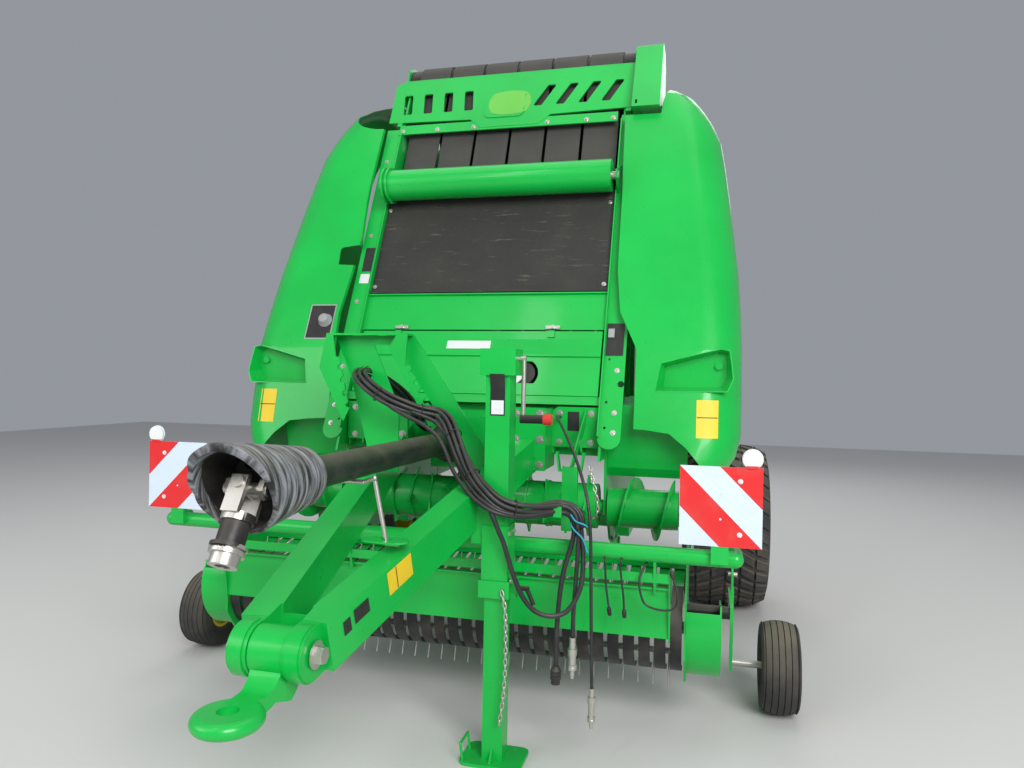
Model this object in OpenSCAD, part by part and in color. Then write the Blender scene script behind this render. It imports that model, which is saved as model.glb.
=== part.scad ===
// Round baler with belts, 1.2 m wide chamber, drawbar at the front.
// Millimetres. +Z up, +Y to the tailgate, origin on the ground at the middle
// of the overall length. The machine travels towards -Y.

/* [Bale chamber] */
// Half the inner width of the bale chamber
chamber_half = 610; // [590:5:630]
// Thickness of the chamber side walls
wall_t = 10; // [6:1:14]
// Rear edge of the fixed side walls, where the tailgate starts
wall_rear_y = 825; // [805:5:830]
// Centre of the bale, lengthways
bale_y = 1170; // [1150:5:1200]
// Centre of the bale, height
bale_z = 1780; // [1760:5:1800]
// Outer radius of the tailgate
gate_r = 1120; // [1100:5:1140]

/* [Slanted front] */
// Lean of the front face from upright, degrees
front_tilt = 22.9; // [22:0.1:24]
// Place of the front face at the lower edge of the dark guard
front_y = -223; // [-240:1:-200]
// Height of the lower edge of the dark guard
front_z = 1800; // [1780:5:1820]
// Width of each front column
column_w = 100; // [80:5:120]
// Length of the dark guard up the slope
guard_len = 571; // [540:1:590]

/* [Belts and rollers] */
// Number of belts side by side
belt_n = 6; // [4:1:8]
// Gap between two belts
belt_gap = 17; // [12:1:24]
// Belt thickness
belt_t = 9; // [6:1:12]
// Radius of the top roller
top_roller_r = 110; // [100:5:120]
// Radius of the small rollers
small_roller_r = 50; // [40:5:60]
// Radius of the green guide roller
guide_r = 78; // [70:1:82]

/* [Wheels] */
// Radius of the main tyres
tyre_r = 500; // [480:5:520]
// Width of the main tyres
tyre_w = 500; // [440:10:520]
// Distance of the main tyre middle from the centre line
tyre_x = 1180; // [1170:5:1200]
// Place of the main axle
axle_y = 1220; // [1200:5:1240]
// Radius of the main rims
rim_r = 235; // [215:5:255]
// Radius of the pickup gauge wheels
gauge_r = 190; // [180:1:200]
// Width of the gauge wheels
gauge_w = 155; // [130:5:165]
// Distance of the gauge wheel middle from the centre line
gauge_x = 1373; // [1365:1:1385]

/* [Drawbar] */
// Height of the drawbar beams
beam_h = 140; // [120:5:160]
// Width of the drawbar beams
beam_w = 90; // [80:5:100]
// Place of the hitch pivot pin
hitch_y = -2030; // [-2050:5:-2010]
// Height of the hitch pivot pin
hitch_z = 680; // [660:5:700]
// Radius of the hitch pivot pin
hitch_pin_r = 25; // [20:1:30]
// Bore of the hitch ring
ring_bore = 52; // [40:1:60]
// Thickness of the hitch ring
ring_t = 40; // [30:1:50]

/* [Jack] */
// Distance of the jack from the centre line
jack_x = 330; // [325:1:340]
// Place of the jack
jack_y = -1100; // [-1120:5:-1080]
// Side of the square outer tube
jack_tube = 90; // [86:1:96]
// Side of the square inner leg
jack_leg_w = 76; // [70:1:80]

/* [Driveline] */
// Height of the drive shaft at the gearbox
shaft_z = 1115; // [1100:5:1130]
// Radius of the shaft guard tube
shaft_r = 46; // [40:1:50]
// Radius of the large bell at the tractor end
bell_r = 112; // [100:1:120]
// Radius of the splined bore of the yoke
yoke_bore_r = 17.5; // [15:0.5:20]

/* [Pickup] */
// Half the working width of the pickup
pickup_half = 990; // [960:5:1000]
// Centre of the pickup reel
reel_y = -640; // [-650:5:-630]
// Height of the centre of the pickup reel
reel_z = 400; // [390:5:410]
// Radius of the stripper bands
band_r = 165; // [155:5:175]
// Radius reached by the tine tips
tine_r = 225; // [215:5:228]
// Number of tines in a row
tine_n = 32; // [24:2:36]
// Outer diameter of the crop guard pipe
pipe_d = 60; // [48:2:66]
// Place of the crop guard pipe
pipe_y = -955; // [-965:5:-945]
// Height of the crop guard pipe
pipe_z = 758; // [745:1:770]

/* [Feed rotor] */
// Radius of the feed rotor drum
drum_r = 100; // [90:5:110]
// Radius of the auger flights and rotor teeth
flight_r = 138; // [130:2:146]
// Centre of the feed rotor
rotor_y = -350; // [-360:5:-340]
// Height of the centre of the feed rotor
rotor_z = 820; // [810:5:830]

/* [Side shields] */
// Outer half width at the widest place
shield_x = 1205; // [1190:5:1220]
// Distance of the shields in front of the slanted face
shield_out = 60; // [55:1:70]
// Lower edge of the shields
shield_low = 1065; // [1050:5:1080]
// Upper edge of the shields
shield_top = 2965; // [2940:5:2980]
// Height of the fold across the shields' fronts
shield_fold = 1530; // [1500:10:1560]
// Sheet thickness
shield_t = 6; // [4:1:8]

/* [Tailgate] */
// Hinge of the tailgate, lengthways
gate_hinge_y = 700; // [690:5:710]
// Hinge of the tailgate, height
gate_hinge_z = 2930; // [2920:5:2940]

/* [Signs] */
// Side of the square warning boards
sign_w = 282; // [240:2:300]
// Distance of the boards from the centre line
sign_x = 1111; // [1100:1:1120]
// Height of the middle of the boards
sign_z = 953; // [940:1:970]

/* [Hidden] */

// Running gap between a pin and its bore, and between faces that seat but stay apart
pin_gap = 0.08;
seat_gap = 0.3;
green = [0.04, 0.52, 0.15];
dark = [0.16, 0.16, 0.15];
steel = [0.62, 0.63, 0.64];
yellow = [0.95, 0.78, 0.05];
rubber = [0.09, 0.09, 0.09];

wall_out = chamber_half + wall_t;
bracket_out = wall_out + 12;
up_z = cos(front_tilt);
// Place of the front face at height z
function front_at(z) = front_y + tan(front_tilt) * (z - front_z);
// Distance up the slope of height z
function slope(z) = (z - front_z) / up_z;

// A polygon of (y, z) points, extruded from x0 to x1
module plate_x(points, x0, x1) {
    translate([x0, 0, 0]) rotate([90, 0, 90]) linear_extrude(x1 - x0) polygon(points);
}
// A child drawn in (y, z), extruded from x0 to x1
module side_x(x0, x1) {
    translate([x0, 0, 0]) rotate([90, 0, 90]) linear_extrude(x1 - x0) children();
}
// A child drawn in (x, z), extruded from y0 to y1
module side_y(y0, y1) {
    translate([0, y1, 0]) rotate([90, 0, 0]) linear_extrude(y1 - y0) children();
}
// A round bar along X
module bar_x(y, z, r, x0, x1, fn = 48) {
    translate([x0, y, z]) rotate([0, 90, 0]) cylinder(r = r, h = x1 - x0, $fn = fn);
}
// A round bar along the machine
module bar_y(x, z, r, y0, y1) {
    translate([x, y0, z]) rotate([-90, 0, 0]) cylinder(r = r, h = y1 - y0, $fn = 40);
}
// A box from its two corners
module box(a, b) {
    translate(a) cube(b - a);
}
// The slanted front face: x across, y up the slope, z outwards
module on_front() {
    translate([0, front_y, front_z]) rotate([90 - front_tilt, 0, 0]) children();
}
// A copy on each side of the centre line
module both() {
    children();
    mirror([1, 0, 0]) children();
}

// Bale chamber
wall_points = [
    [front_at(1040), 1040], [front_at(3030), 3030], [640, 3030], [770, 2880], [wall_rear_y, 2760],
    [wall_rear_y, 620], [260, 620], [90, 700], [90, 960], [-60, 1040]];
module chamber_walls() {
    color(green) both() {
        difference() {
            plate_x(wall_points, chamber_half, wall_out);
            bar_x(top_y, top_z, top_roller_r + seat_gap, chamber_half - 1, wall_out + 1, 64);
        }
        // Gate hinge boss and pin
        bar_x(gate_hinge_y, gate_hinge_z, 40, wall_out, wall_out + 18);
        bar_x(gate_hinge_y, gate_hinge_z, 22, wall_out, wall_out + 40, 32);
        // Cylinder bracket and pin
        plate_x([[cyl_y - 70, cyl_z - 60], [cyl_y + 70, cyl_z - 60], [cyl_y + 30, cyl_z + 50],
            [cyl_y - 30, cyl_z + 50]], wall_out, wall_out + 40);
        bar_x(cyl_y, cyl_z, 20, wall_out + 40, cyl_x + 34, 40);
        // Bracket for pickup pivot and feed rotor
        difference() {
            plate_x([[-400, 1040], [-400, 790], [-350, 760], [-290, 770], [-190, 640], [-60, 590],
                [60, 640], [130, 900], [40, 1250], [-300, 1290], [-403, 1290]], wall_out, bracket_out);
            bar_x(rotor_y, rotor_z, 30 + pin_gap, wall_out - 1, bracket_out + 1, 40);
        }
        bar_x(pickup_pivot_y, pickup_pivot_z, 20, bracket_out, bracket_out + 34, 32);
        // Ribs between the folded edges
        for (y = [430, 700]) translate([wall_out, y, 1300]) cube([24, 8, 1250]);
    }
    // Rails and pins that carry the side shields
    color(green) {
        box([wall_out, right_hinge_y - 40, shield_hinge_z - 25],
            [right_hinge_x - 4, right_hinge_y + 40, shield_hinge_z + 5]);
        box([left_hinge_x + 4, left_hinge_y - 60, shield_hinge_z - 30],
            [-wall_out, left_hinge_y + 60, shield_hinge_z]);
        bar_y(right_hinge_x, shield_hinge_z, shield_pin_r, right_hinge_y - 68, right_hinge_y + 68);
        bar_y(left_hinge_x, shield_hinge_z, shield_pin_r, left_hinge_y - 88, left_hinge_y + 88);
    }
}

// Axle
module axle() {
    color(green) {
        box([-tyre_x + 320, axle_y - 60, tyre_r - 60], [tyre_x - 320, axle_y + 60, tyre_r + 60]);
        both() {
            box([chamber_half - 20, axle_y - 520, tyre_r + 60],
                [chamber_half + 60, axle_y + 60, tyre_r + 120]);
            box([chamber_half - 20, 300, tyre_r + 60], [chamber_half + 60, axle_y - 520, tyre_r + 120]);
            // Hub flange with bolts
            bar_x(axle_y, tyre_r, 90, tyre_x - 60, tyre_x - 30, 48);
        }
    }
    color(steel) both() {
        bar_x(axle_y, tyre_r, 45, tyre_x - 320, tyre_x + 20);
    }
}

// Front frame: two columns, top rail, sheet below the guard
column_low = slope(1100);
column_high = slope(2760);
column_len = column_high - column_low - 40;
module front_frame() {
    color(green) on_front() {
        both() difference() {
            union() {
                translate([chamber_half - 8, column_low + 40, 0]) cube([column_w, column_len, 8]);
                translate([chamber_half - 8 + column_w / 2, column_low + 40, 0])
                    cylinder(r = column_w / 2, h = 8, $fn = 48);
                translate([chamber_half - 8, column_low + 40, 8]) cube([6, column_len - 42, 26]);
            }
            translate([688, slope(1370), -1]) cylinder(r = 15, h = 10, $fn = 32);
            for (z = [1180, 1290, 1480, 1560]) translate([chamber_half + 20, slope(z), -1])
                cylinder(r = 6, h = 10, $fn = 16);
        }
        translate([-chamber_half + 8, -200, 0]) cube([2 * chamber_half - 16, 200, 8]);
        translate([-chamber_half + 8, -14, 8]) cube([2 * chamber_half - 16, 6, 14]);
        translate([-chamber_half + 8, cover_low - 40, 0]) cube([2 * chamber_half - 16, 40 - seat_gap, 8]);
    }
    color(green) both() difference() {
        plate_x([[front_at(2310) - 8, 2310], [guide_y - 34, guide_z - 20], [guide_y - 34, guide_z + 20],
            [front_at(2470) - 8, 2470]], chamber_half, chamber_half + 10);
        bar_x(guide_y, guide_z, 20 + pin_gap, chamber_half - 1, chamber_half + 11, 32);
    }
    color(green) both() on_front() {
        translate([bracket_out, column_low + 40, -90]) cube([column_w - 42, 60, 90]);
        translate([wall_out, column_high - 80, -90]) cube([column_w - 18, 60, 90]);
    }
}

module belt_guard() {
    color(dark) on_front() {
        translate([-chamber_half + 10, 0, 0.3]) cube([2 * chamber_half - 20, guard_len, 6]);
        // Bent lower lip
        translate([-chamber_half + 10, 0, 6.3]) cube([2 * chamber_half - 20, 12, 12]);
    }
}

// Grille plate with four upright and four slanted slots
grille_low = slope(2760);
grille_high = slope(3075);
grille_half = 700;
// A rounded slot, leaning by the given run over its height
module slot(x, half_w, run) {
    translate([x, grille_low + 166, -1]) linear_extrude(30) offset(r = 9, $fn = 24)
        polygon([[-half_w - run, -60], [half_w - run, -60], [half_w + run, 60], [-half_w + run, 60]]);
}
module grille_plate() {
    color(green) on_front() {
        difference() {
            union() {
                translate([0, 0, 8.3]) linear_extrude(8) polygon([
                    [-grille_half, grille_low + 44], [-222, grille_low + 32], [-160, grille_low - 26],
                    [160, grille_low - 26], [222, grille_low + 32], [grille_half - 40, grille_low + 44],
                    [grille_half - 40, grille_high], [-grille_half + 60, grille_high],
                    [-grille_half, grille_high - 30]]);
                // Raised badge pad
                translate([-38, grille_low + 128, 16]) linear_extrude(5) offset(r = 40, $fn = 48)
                    square([150, 110], center = true);
            }
            for (i = [0:3]) {
                slot(-606 + 119 * i, 16, -6);
                slot(180 + 122 * i, 14, 32);
            }
        }
        // Flange strip seated on the front columns
        translate([-wall_out - 8, grille_low - 40, 8.3]) cube([2 * wall_out - 30, 60, 6]);
        both() translate([wall_out, grille_low + 20, -40]) cube([28, 60, 54]);
    }
}

// Belts run over the top roller and down behind the opening
top_y = 470;
top_z = 3085;
low_y = 10;
low_z = 2080;
mid_y = 720;
mid_z = 2600;
belt_pitch = (2 * chamber_half - 40) / belt_n;
belt_w = belt_pitch - belt_gap;
module belt_rows() {
    for (i = [0:belt_n - 1]) translate([-chamber_half + 20 + belt_pitch * i + belt_gap / 2, 0, 0])
        children();
}
module belt_gaps() {
    for (i = [0:belt_n]) translate([-chamber_half + 20 + belt_pitch * i - belt_gap / 2, -200, 1900])
        cube([belt_gap, 1200, 1500]);
}
module roller_hull(extra) {
    hull() {
        translate([top_y, top_z]) circle(r = top_roller_r + extra, $fn = 64);
        translate([low_y, low_z]) circle(r = small_roller_r + extra, $fn = 40);
        translate([mid_y, mid_z]) circle(r = small_roller_r + extra, $fn = 40);
    }
}
module front_belts() {
    color(rubber) difference() {
        side_x(-chamber_half + 20, chamber_half - 20) difference() {
            roller_hull(seat_gap + belt_t);
            roller_hull(seat_gap);
        }
        belt_gaps();
    }
}
module belt_rollers() {
    color(dark) {
        bar_x(top_y, top_z, top_roller_r, -chamber_half - 40, chamber_half + 40, 64);
        bar_x(low_y, low_z, small_roller_r, -chamber_half, chamber_half, 40);
        bar_x(mid_y, mid_z, small_roller_r, -chamber_half, chamber_half, 40);
        bar_x(60, 1180, small_roller_r + 30, -chamber_half, chamber_half, 40);
    }
}
guide_z = 2385;
guide_y = front_at(guide_z) - 104;
module guide_roller() {
    color(green) {
        bar_x(guide_y, guide_z, guide_r, -chamber_half + 20, chamber_half - 20, 64);
        bar_x(guide_y, guide_z, guide_r + 14, -chamber_half + 20, -chamber_half + 30, 64);
        bar_x(guide_y, guide_z, guide_r + 14, -chamber_half + 44, -chamber_half + 54, 64);
    }
    color(steel) bar_x(guide_y, guide_z, 20, -chamber_half - 14, chamber_half + 14, 32);
}
// Side guards at the ends of the top roller
module top_cowls() {
    color(green) {
        both() plate_x([[front_at(2940) + 5, 2940], [front_at(3075) + 30, 3085], [top_y - 110, 3170],
            [top_y - 30, 3205], [top_y + 40, 3200], [top_y + 150, 3130], [610, 2940]],
            chamber_half + 40, chamber_half + 50);
        // Closed box over the roller's drive
        difference() {
            plate_x([[72, 2768], [300, 3160], [340, 3185], [480, 3185], [540, 3120], [540, 2990],
                [350, 2768]], chamber_half + 50, 800);
            box([chamber_half + 66, 50, 2785], [chamber_half + 76, 150, 2810]);
        }
    }
}

// Cross beam that carries drawbar and gearbox
cross_y = -330;
flange_out = 392 + seat_gap;
module front_beam() {
    color(green) {
        box([-chamber_half, cross_y - 60, 1050], [chamber_half, cross_y + 60, 1190]);
        box([-chamber_half, cross_y - 60, 1190], [chamber_half, cross_y - 52, 1268]);
        both() {
            // Side brackets with bent flanges
            side_y(cross_y - 122, cross_y - 114) polygon([[flange_out, 1090], [flange_out, 1250],
                [flange_out + 24, 1268], [chamber_half - 9, 1268], [chamber_half - 9, 1090]]);
            box([flange_out, cross_y - 114, 1060], [flange_out + 8, cross_y - 60, 1250]);
            box([chamber_half - 17, cross_y - 114, 1060], [chamber_half - 9, cross_y - 60, 1268]);
            // Flat stay down to the pivot brackets
            plate_x([[cross_y - 122, 1070], [cross_y - 60, 1050], [cross_y - 60, 1120],
                [cross_y - 122, 1120]], 520, 528);
        }
    }
}

// Drawbar: two beams that meet at the hitch boss
boss_r = 68;
eye_tab = [118, -1620, 884];
beam_rear = [330, cross_y - 60, 1110];
beam_front = [85, hitch_y + 70, hitch_z + 10];
beam_vec = beam_rear - beam_front;
beam_len = norm(beam_vec);
beam_yaw = atan2(beam_vec[0], beam_vec[1]);
beam_pitch = asin(beam_vec[2] / beam_len);
module beam() {
    translate(beam_front) rotate([0, 0, -beam_yaw]) rotate([beam_pitch, 0, 0])
        translate([-beam_w / 2, -20, -beam_h / 2]) cube([beam_w, beam_len + 20, beam_h]);
}
module drawbar() {
    color(green) {
        difference() {
            union() {
                both() beam();
                both() side_x(49, 105) hull() {
                    translate([hitch_y, hitch_z]) circle(r = boss_r, $fn = 48);
                    translate([hitch_y + 110, hitch_z + 12]) circle(r = boss_r - 2, $fn = 48);
                }
                both() bar_x(hitch_y, hitch_z, boss_r + 5, 60, 98, 48);
                // Gussets between the beams, curved at the front
                side_x(-110, 110) polygon([[hitch_y + 100, hitch_z - 55], [hitch_y + 330, hitch_z - 5],
                    [hitch_y + 330, hitch_z + 3], [hitch_y + 112, hitch_z - 47],
                    [hitch_y + 112, hitch_z + 60],
                    [hitch_y + 100, hitch_z + 60]]);
                // Mounting flanges at the rear
                both() difference() {
                    box([238, cross_y - 268, 996], [392, cross_y - 256, 1266]);
                    translate([334, cross_y - 300, 1048]) rotate([-90, 0, 0])
                        cylinder(r = 12, h = 60, $fn = 32);
                }
                both() box([384, cross_y - 256, 1000], [392, cross_y - 60, 1262]);
                // Tab with an oval eye for the shaft's rod
                difference() {
                    translate([eye_tab[0] - 70, eye_tab[1] - 40, eye_tab[2]]) linear_extrude(6) hull() {
                        translate([20, 40]) circle(r = 32, $fn = 32);
                        translate([100, 40]) circle(r = 40, $fn = 32);
                    }
                    translate([eye_tab[0] - 20, eye_tab[1], eye_tab[2] - 1]) linear_extrude(10) hull() {
                        circle(r = 15, $fn = 32);
                        translate([22, 0]) circle(r = 15, $fn = 32);
                    }
                }
            }
            box([-600, cross_y - 60, 700], [600, cross_y + 200, 1500]);
            box([-49.7, hitch_y - 100, hitch_z - 200], [49.7, hitch_y + 99, hitch_z + 200]);
        }
        both() bar_x(hitch_y, hitch_z, hitch_pin_r, 49, 112, 32);
    }
    color(steel) bar_x(hitch_y, hitch_z, hitch_pin_r - 1, -50, 50, 32);
}

// Hitch: cranked neck with a ring eye
eye_y = -2235;
eye_z = 590;
eye_r = 85;
module hitch() {
    color(green) difference() {
        union() {
            bar_x(hitch_y, hitch_z, boss_r - 4, -47, 47, 48);
            // Neck: side outline crossed with the outline seen from above
            intersection() {
                side_x(-60, 60) polygon(concat([[hitch_y + 62, hitch_z - 20]],
                    arc(hitch_y - 62, hitch_z - 16, 120, -10, -62, 8),
                    arc(eye_y + 96, eye_z + 60, 80, -62, -90, 5),
                    [[eye_y, eye_z - ring_t / 2], [eye_y, eye_z + ring_t / 2],
                    [eye_y + 60, eye_z + ring_t / 2]],
                    arc(hitch_y - 110, hitch_z - 10, 62, -90, -20, 6), [[hitch_y - 40, hitch_z + 45]]));
                linear_extrude(2000) polygon([[-47, hitch_y + 80], [47, hitch_y + 80], [46, hitch_y - 30],
                    [34, eye_y + 60], [34, eye_y], [-34, eye_y], [-34, eye_y + 60], [-46, hitch_y - 30]]);
            }
            translate([0, eye_y, eye_z]) rotate_extrude($fn = 64)
                polygon(concat([[ring_bore / 2 - 4, -ring_t / 2]],
                [for (a = [-90:15:90]) [eye_r - ring_t / 2 + ring_t / 2 * cos(a), ring_t / 2 * sin(a)]],
                [[ring_bore / 2 - 4, ring_t / 2]]));
        }
        translate([0, eye_y, eye_z - 200]) cylinder(r = ring_bore / 2, h = 400, $fn = 64);
        bar_x(hitch_y, hitch_z, hitch_pin_r - 1 + pin_gap, -60, 60, 32);
    }
}

module gearbox() {
    color(green) {
        box([-150, cross_y - 200, shaft_z - 130], [150, cross_y - 60, shaft_z + 130]);
        box([-110, cross_y - 230, shaft_z - 100], [110, cross_y - 200, shaft_z + 100]);
        for (x = [-126, 126], z = [-106, 106]) cyl_y_at_x(x, cross_y - 208, cross_y - 199, 12,
            shaft_z + z);
        cyl_y_at(cross_y - 250, cross_y - 230, 60, shaft_z, 40);
        cyl_y_at(joint_y - 20, cross_y - 250, 30, shaft_z, 40);
        bar_x(joint_y, shaft_z, 12, -48, 48, 32);
    }
}
module cyl_y_at_x(x, y0, y1, r, z) {
    translate([x, 0, 0]) cyl_y_at(y0, y1, r, z, 24);
}

// Folded rack over the drive shaft that holds the hoses, and the hose holder beside the jack
rack_y = -905;
rack_t = 8;
holder_y = -860;
module rack_sheet(y, points) {
    side_y(y, y + rack_t) polygon(points);
}
// Saw-toothed edge from a to b with n hooks, each of depth d
function teeth(a, b, n, d) = let (v = (b - a) / n, w = [v[1], -v[0]] / norm(v)) [for (i = [0:n - 1])
    each [a + v * i, a + v * (i + 0.15) + w * d, a + v * (i + 0.62) + w * d, a + v * (i + 0.72)]];
module hose_rack() {
    color(green) {
        difference() {
            union() {
                // Left leg
                rack_sheet(rack_y, [[-262, 1000], [-150, 1000], [-152, 1260], [-262, 1510], [-262, 1560],
                    [-440, 1560], [-370, 1400]]);
                // Strip down to the right beam
                rack_sheet(rack_y, [[-262, 1516], [-180, 1516], [150, 1060], [150, 1000], [290, 1000],
                    [290, 1040],
                    [205, 1130], [-95, 1560], [-262, 1560]]);
                // Top flange
                box([-440, rack_y - 60, 1552], [-95, rack_y, 1560]);
            }
            both() beam();
            for (x = [-325, -215]) translate([x, rack_y - 34, 1540]) linear_extrude(40) hull() {
                translate([-9, 0]) circle(r = 13, $fn = 24);
                translate([9, 0]) circle(r = 13, $fn = 24);
            }
            translate([-300, rack_y - 10, 1400]) rotate([-90, 0, 0]) cylinder(r = 30, h = 60, $fn = 32);
        }
        // Left wing and right hook, both with toothed slots
        box([-448, rack_y - 60, 1400], [-440, rack_y, 1560]);
        rack_sheet(rack_y - 60, concat([[-448, 1560], [-478, 1420], [-368, 1205], [-340, 1260],
            [-356, 1262]],
            teeth([-362, 1270], [-410, 1480], 4, 16), [[-420, 1560]]));
        rack_sheet(rack_y - 60, concat([[-140, 1560], [-175, 1500], [0, 1196], [60, 1196], [82, 1240],
            [66, 1246], [54, 1218],
            [16, 1218], [4, 1232]], teeth([-8, 1256], [-108, 1440], 5, 18), [[-100, 1500], [-95, 1560]]));
        // Hose holder: channel with a fork, on a flat stay
        box([516, holder_y, 800], [576, holder_y + 6, 1050]);
        for (x = [516, 570]) box([x, holder_y, 800], [x + 6, holder_y + 30, 1050]);
        box([500, holder_y, 1030], [592, holder_y + 30, 1036]);
        for (x = [500, 584]) translate([x, holder_y, 1030]) rotate([0, (x < 540) ? -8 : 8, 0])
            cube([8, 30, 76]);
        box([530, -1090, 894], [560, holder_y, 900]);
        for (y = [-1092, -1020]) box([530, y, 894], [560, y + 6, 932]);
        plate_x([[holder_y + 30, 1000], [holder_y + 30, 1050], [cross_y - 122, 1260],
            [cross_y - 122, 1195]], 540, 546);
    }
}

// Parking jack
jack_top = 1440;
jack_low = 600;
module jack_tube() {
    color(green) difference() {
        union() {
            translate([jack_x - jack_tube / 2, jack_y - jack_tube / 2, jack_low])
                cube([jack_tube, jack_tube, jack_top - jack_low]);
            translate([jack_x - 66, jack_y - 56, jack_top - 40]) cube([132, 112, 96]);
            // Sleeve and collar round the leg
            translate([jack_x - 49, jack_y - 49, jack_low]) cube([98, 98, 260]);
            translate([jack_x - 57, jack_y - 57, jack_low]) cube([114, 114, 62]);
            translate([jack_x + 57, jack_y - 26, jack_low]) cube([18, 52, 62]);
            box([beam_x_at(jack_y) + 20, jack_y - 40, 790], [jack_x - 40, jack_y + 40, 930]);
            box([beam_x_at(jack_y) + 20, jack_y - 30, 1000], [jack_x - 40, jack_y + 30, 1012]);
        }
        translate([jack_x - jack_leg_w / 2 - seat_gap, jack_y - jack_leg_w / 2 - seat_gap, jack_low - 1])
            cube([jack_leg_w + 2 * seat_gap, jack_leg_w + 2 * seat_gap, jack_top - jack_low - 12]);
        intersection() {
            both() beam();
            box([0, jack_y - 200, 500], [jack_x - 46, jack_y + 200, 1200]);
        }
    }
}
function beam_x_at(y) = beam_front[0] + beam_vec[0] * (y - beam_front[1]) / beam_vec[1];
module jack_leg() {
    color(green) {
        translate([jack_x - jack_leg_w / 2, jack_y - jack_leg_w / 2, 12])
            cube([jack_leg_w, jack_leg_w, 900]);
        difference() {
            translate([jack_x, jack_y, 0]) linear_extrude(12) offset(r = 30, $fn = 32) square([170, 110],
                center = true);
            translate([jack_x - 40, jack_y, -1]) cylinder(r = 9, h = 5, $fn = 24);
        }
        plate_x([[jack_y - 70, 12], [jack_y + 70, 12], [jack_y + 36, 60], [jack_y - 36, 60]],
            jack_x - 4, jack_x + 4);
        // Carrying handle of bent rod
        translate([jack_x - 100, jack_y - 70, 12]) rotate([0, -8, 0]) {
            cylinder(r = 5, h = 60, $fn = 16);
            translate([0, 90, 0]) cylinder(r = 5, h = 60, $fn = 16);
            translate([0, 0, 60]) rotate([-90, 0, 0]) cylinder(r = 5, h = 90, $fn = 16);
            for (y = [0, 90]) translate([0, y, 60]) sphere(r = 5, $fn = 16);
        }
    }
}
module jack_crank() {
    color(steel) {
        bar_x(jack_y, crank_z, 9, jack_x - 74, jack_x - 66);
        bar_x(jack_y, crank_z, 9, jack_x + 66, jack_x + 92);
        translate([jack_x + 84, jack_y, crank_z - 218]) cylinder(r = 8, h = 218, $fn = 48);
        // Locking pin through the collar, bent down
        bar_x(jack_y, jack_low + 30, 9, jack_x + 75, jack_x + 118);
        translate([jack_x + 110, jack_y, jack_low + 30]) rotate([0, 155, 0])
            cylinder(r = 8, h = 62, $fn = 48);
    }
    color(dark) {
        bar_x(jack_y, crank_z - 218, 16, jack_x + 74, jack_x + 160);
        bar_x(jack_y, crank_z - 218, 20, jack_x + 160, jack_x + 190);
    }
}
crank_z = jack_top + 22;

// Drive shaft with guard, bell and yoke
joint_y = cross_y - 270;
shaft_rear = joint_y - 90;
shaft_front = -1900;
joint_front = shaft_front - 270;
module cyl_y_at(y0, y1, r, z, fn = 48) {
    translate([0, y1, z]) rotate([90, 0, 0]) cylinder(r = r, h = y1 - y0, $fn = fn);
}
module drive_shaft() {
    color(rubber) {
        cyl_y_at(shaft_front - 60, shaft_rear, shaft_r, shaft_z);
        translate([0, shaft_rear, shaft_z]) rotate([90, 0, 0]) rotate_extrude($fn = 48)
            polygon([[20, 0], [86, 0], [86, 24], [80, 30], [80, 52], [72, 58], [72, 80], [64, 86],
                [64, 106],
                [shaft_r, 130], [20, 130]]);
        both() difference() {
            plate_x([[shaft_rear - 1, shaft_z - 26], [joint_y, shaft_z - 26], [joint_y + 18, shaft_z],
                [joint_y, shaft_z + 26], [shaft_rear - 1, shaft_z + 26]], 34, 46);
            bar_x(joint_y, shaft_z, 12 + pin_gap, 30, 50, 32);
        }
        // Folded bell, its mouth cut at a slant
        difference() {
            translate([0, shaft_front, shaft_z]) rotate([90, 0, 0]) rotate_extrude($fn = 64)
                polygon(concat([[20, 0], [shaft_r, 0]], [for (i = [0:11], k = [0, 1])
                    [74 + 3.2 * i + (k == 0 ? 0 : 5), 24 + 30 * i + (k == 0 ? 0 : 15)]], [[bell_r, 384],
                        [bell_r, 404],
                    [bell_r - 7, 404], [bell_r - 10, 300], [bell_r - 22, 180], [bell_r - 32, 90],
                        [20, 90]]));
            plate_x([[shaft_front - 415, shaft_z + 130], [shaft_front - 395, shaft_z + 130],
                [shaft_front - 262, shaft_z - 130], [shaft_front - 415, shaft_z - 130]], -200, 200);
        }
    }
    color(steel) {
        // Flange, two forks and their cross
        difference() {
            cyl_y_at(shaft_front - 196, shaft_front - 184, 92, shaft_z, 48);
            for (a = [45:90:315]) translate([66 * cos(a), shaft_front - 210, shaft_z + 66 * sin(a)])
                rotate([-90, 0, 0]) cylinder(r = 11, h = 40, $fn = 24);
        }
        cyl_y_at(shaft_front - 190, shaft_front - 80, 40, shaft_z, 32);
        both() plate_x([[joint_front + 84, shaft_z - 30], [joint_front - 10, shaft_z - 24],
            [joint_front - 22, shaft_z],
            [joint_front - 10, shaft_z + 24], [joint_front + 84, shaft_z + 30]], 38, 52);
        bar_x(joint_front, shaft_z, 16, -58, 58, 32);
        translate([0, joint_front, shaft_z]) rotate([150, 0, 0]) {
            rotate([90, 0, 0]) translate([0, 0, -52]) cylinder(r = 16, h = 104, $fn = 32);
            for (y = [-46, 32]) translate([-22, y, -18]) cube([44, 14, 90]);
            difference() {
                union() {
                    translate([0, 0, 66]) cylinder(r = 40, h = 20, $fn = 48);
                    translate([0, 0, 86]) cylinder(r = 34, h = 104, $fn = 48);
                    translate([0, 0, 140]) cylinder(r = 44, h = 9, $fn = 48);
                    translate([0, 0, 154]) cylinder(r = 42, h = 9, $fn = 48);
                }
                translate([0, 0, 100]) cylinder(r = yoke_bore_r, h = 100, $fn = 40);
            }
        }
    }
}
rod_y = eye_tab[1];
rod_foot = eye_tab[2] - 7 - seat_gap;
rod_head = [75, rod_y, 1076];
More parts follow.
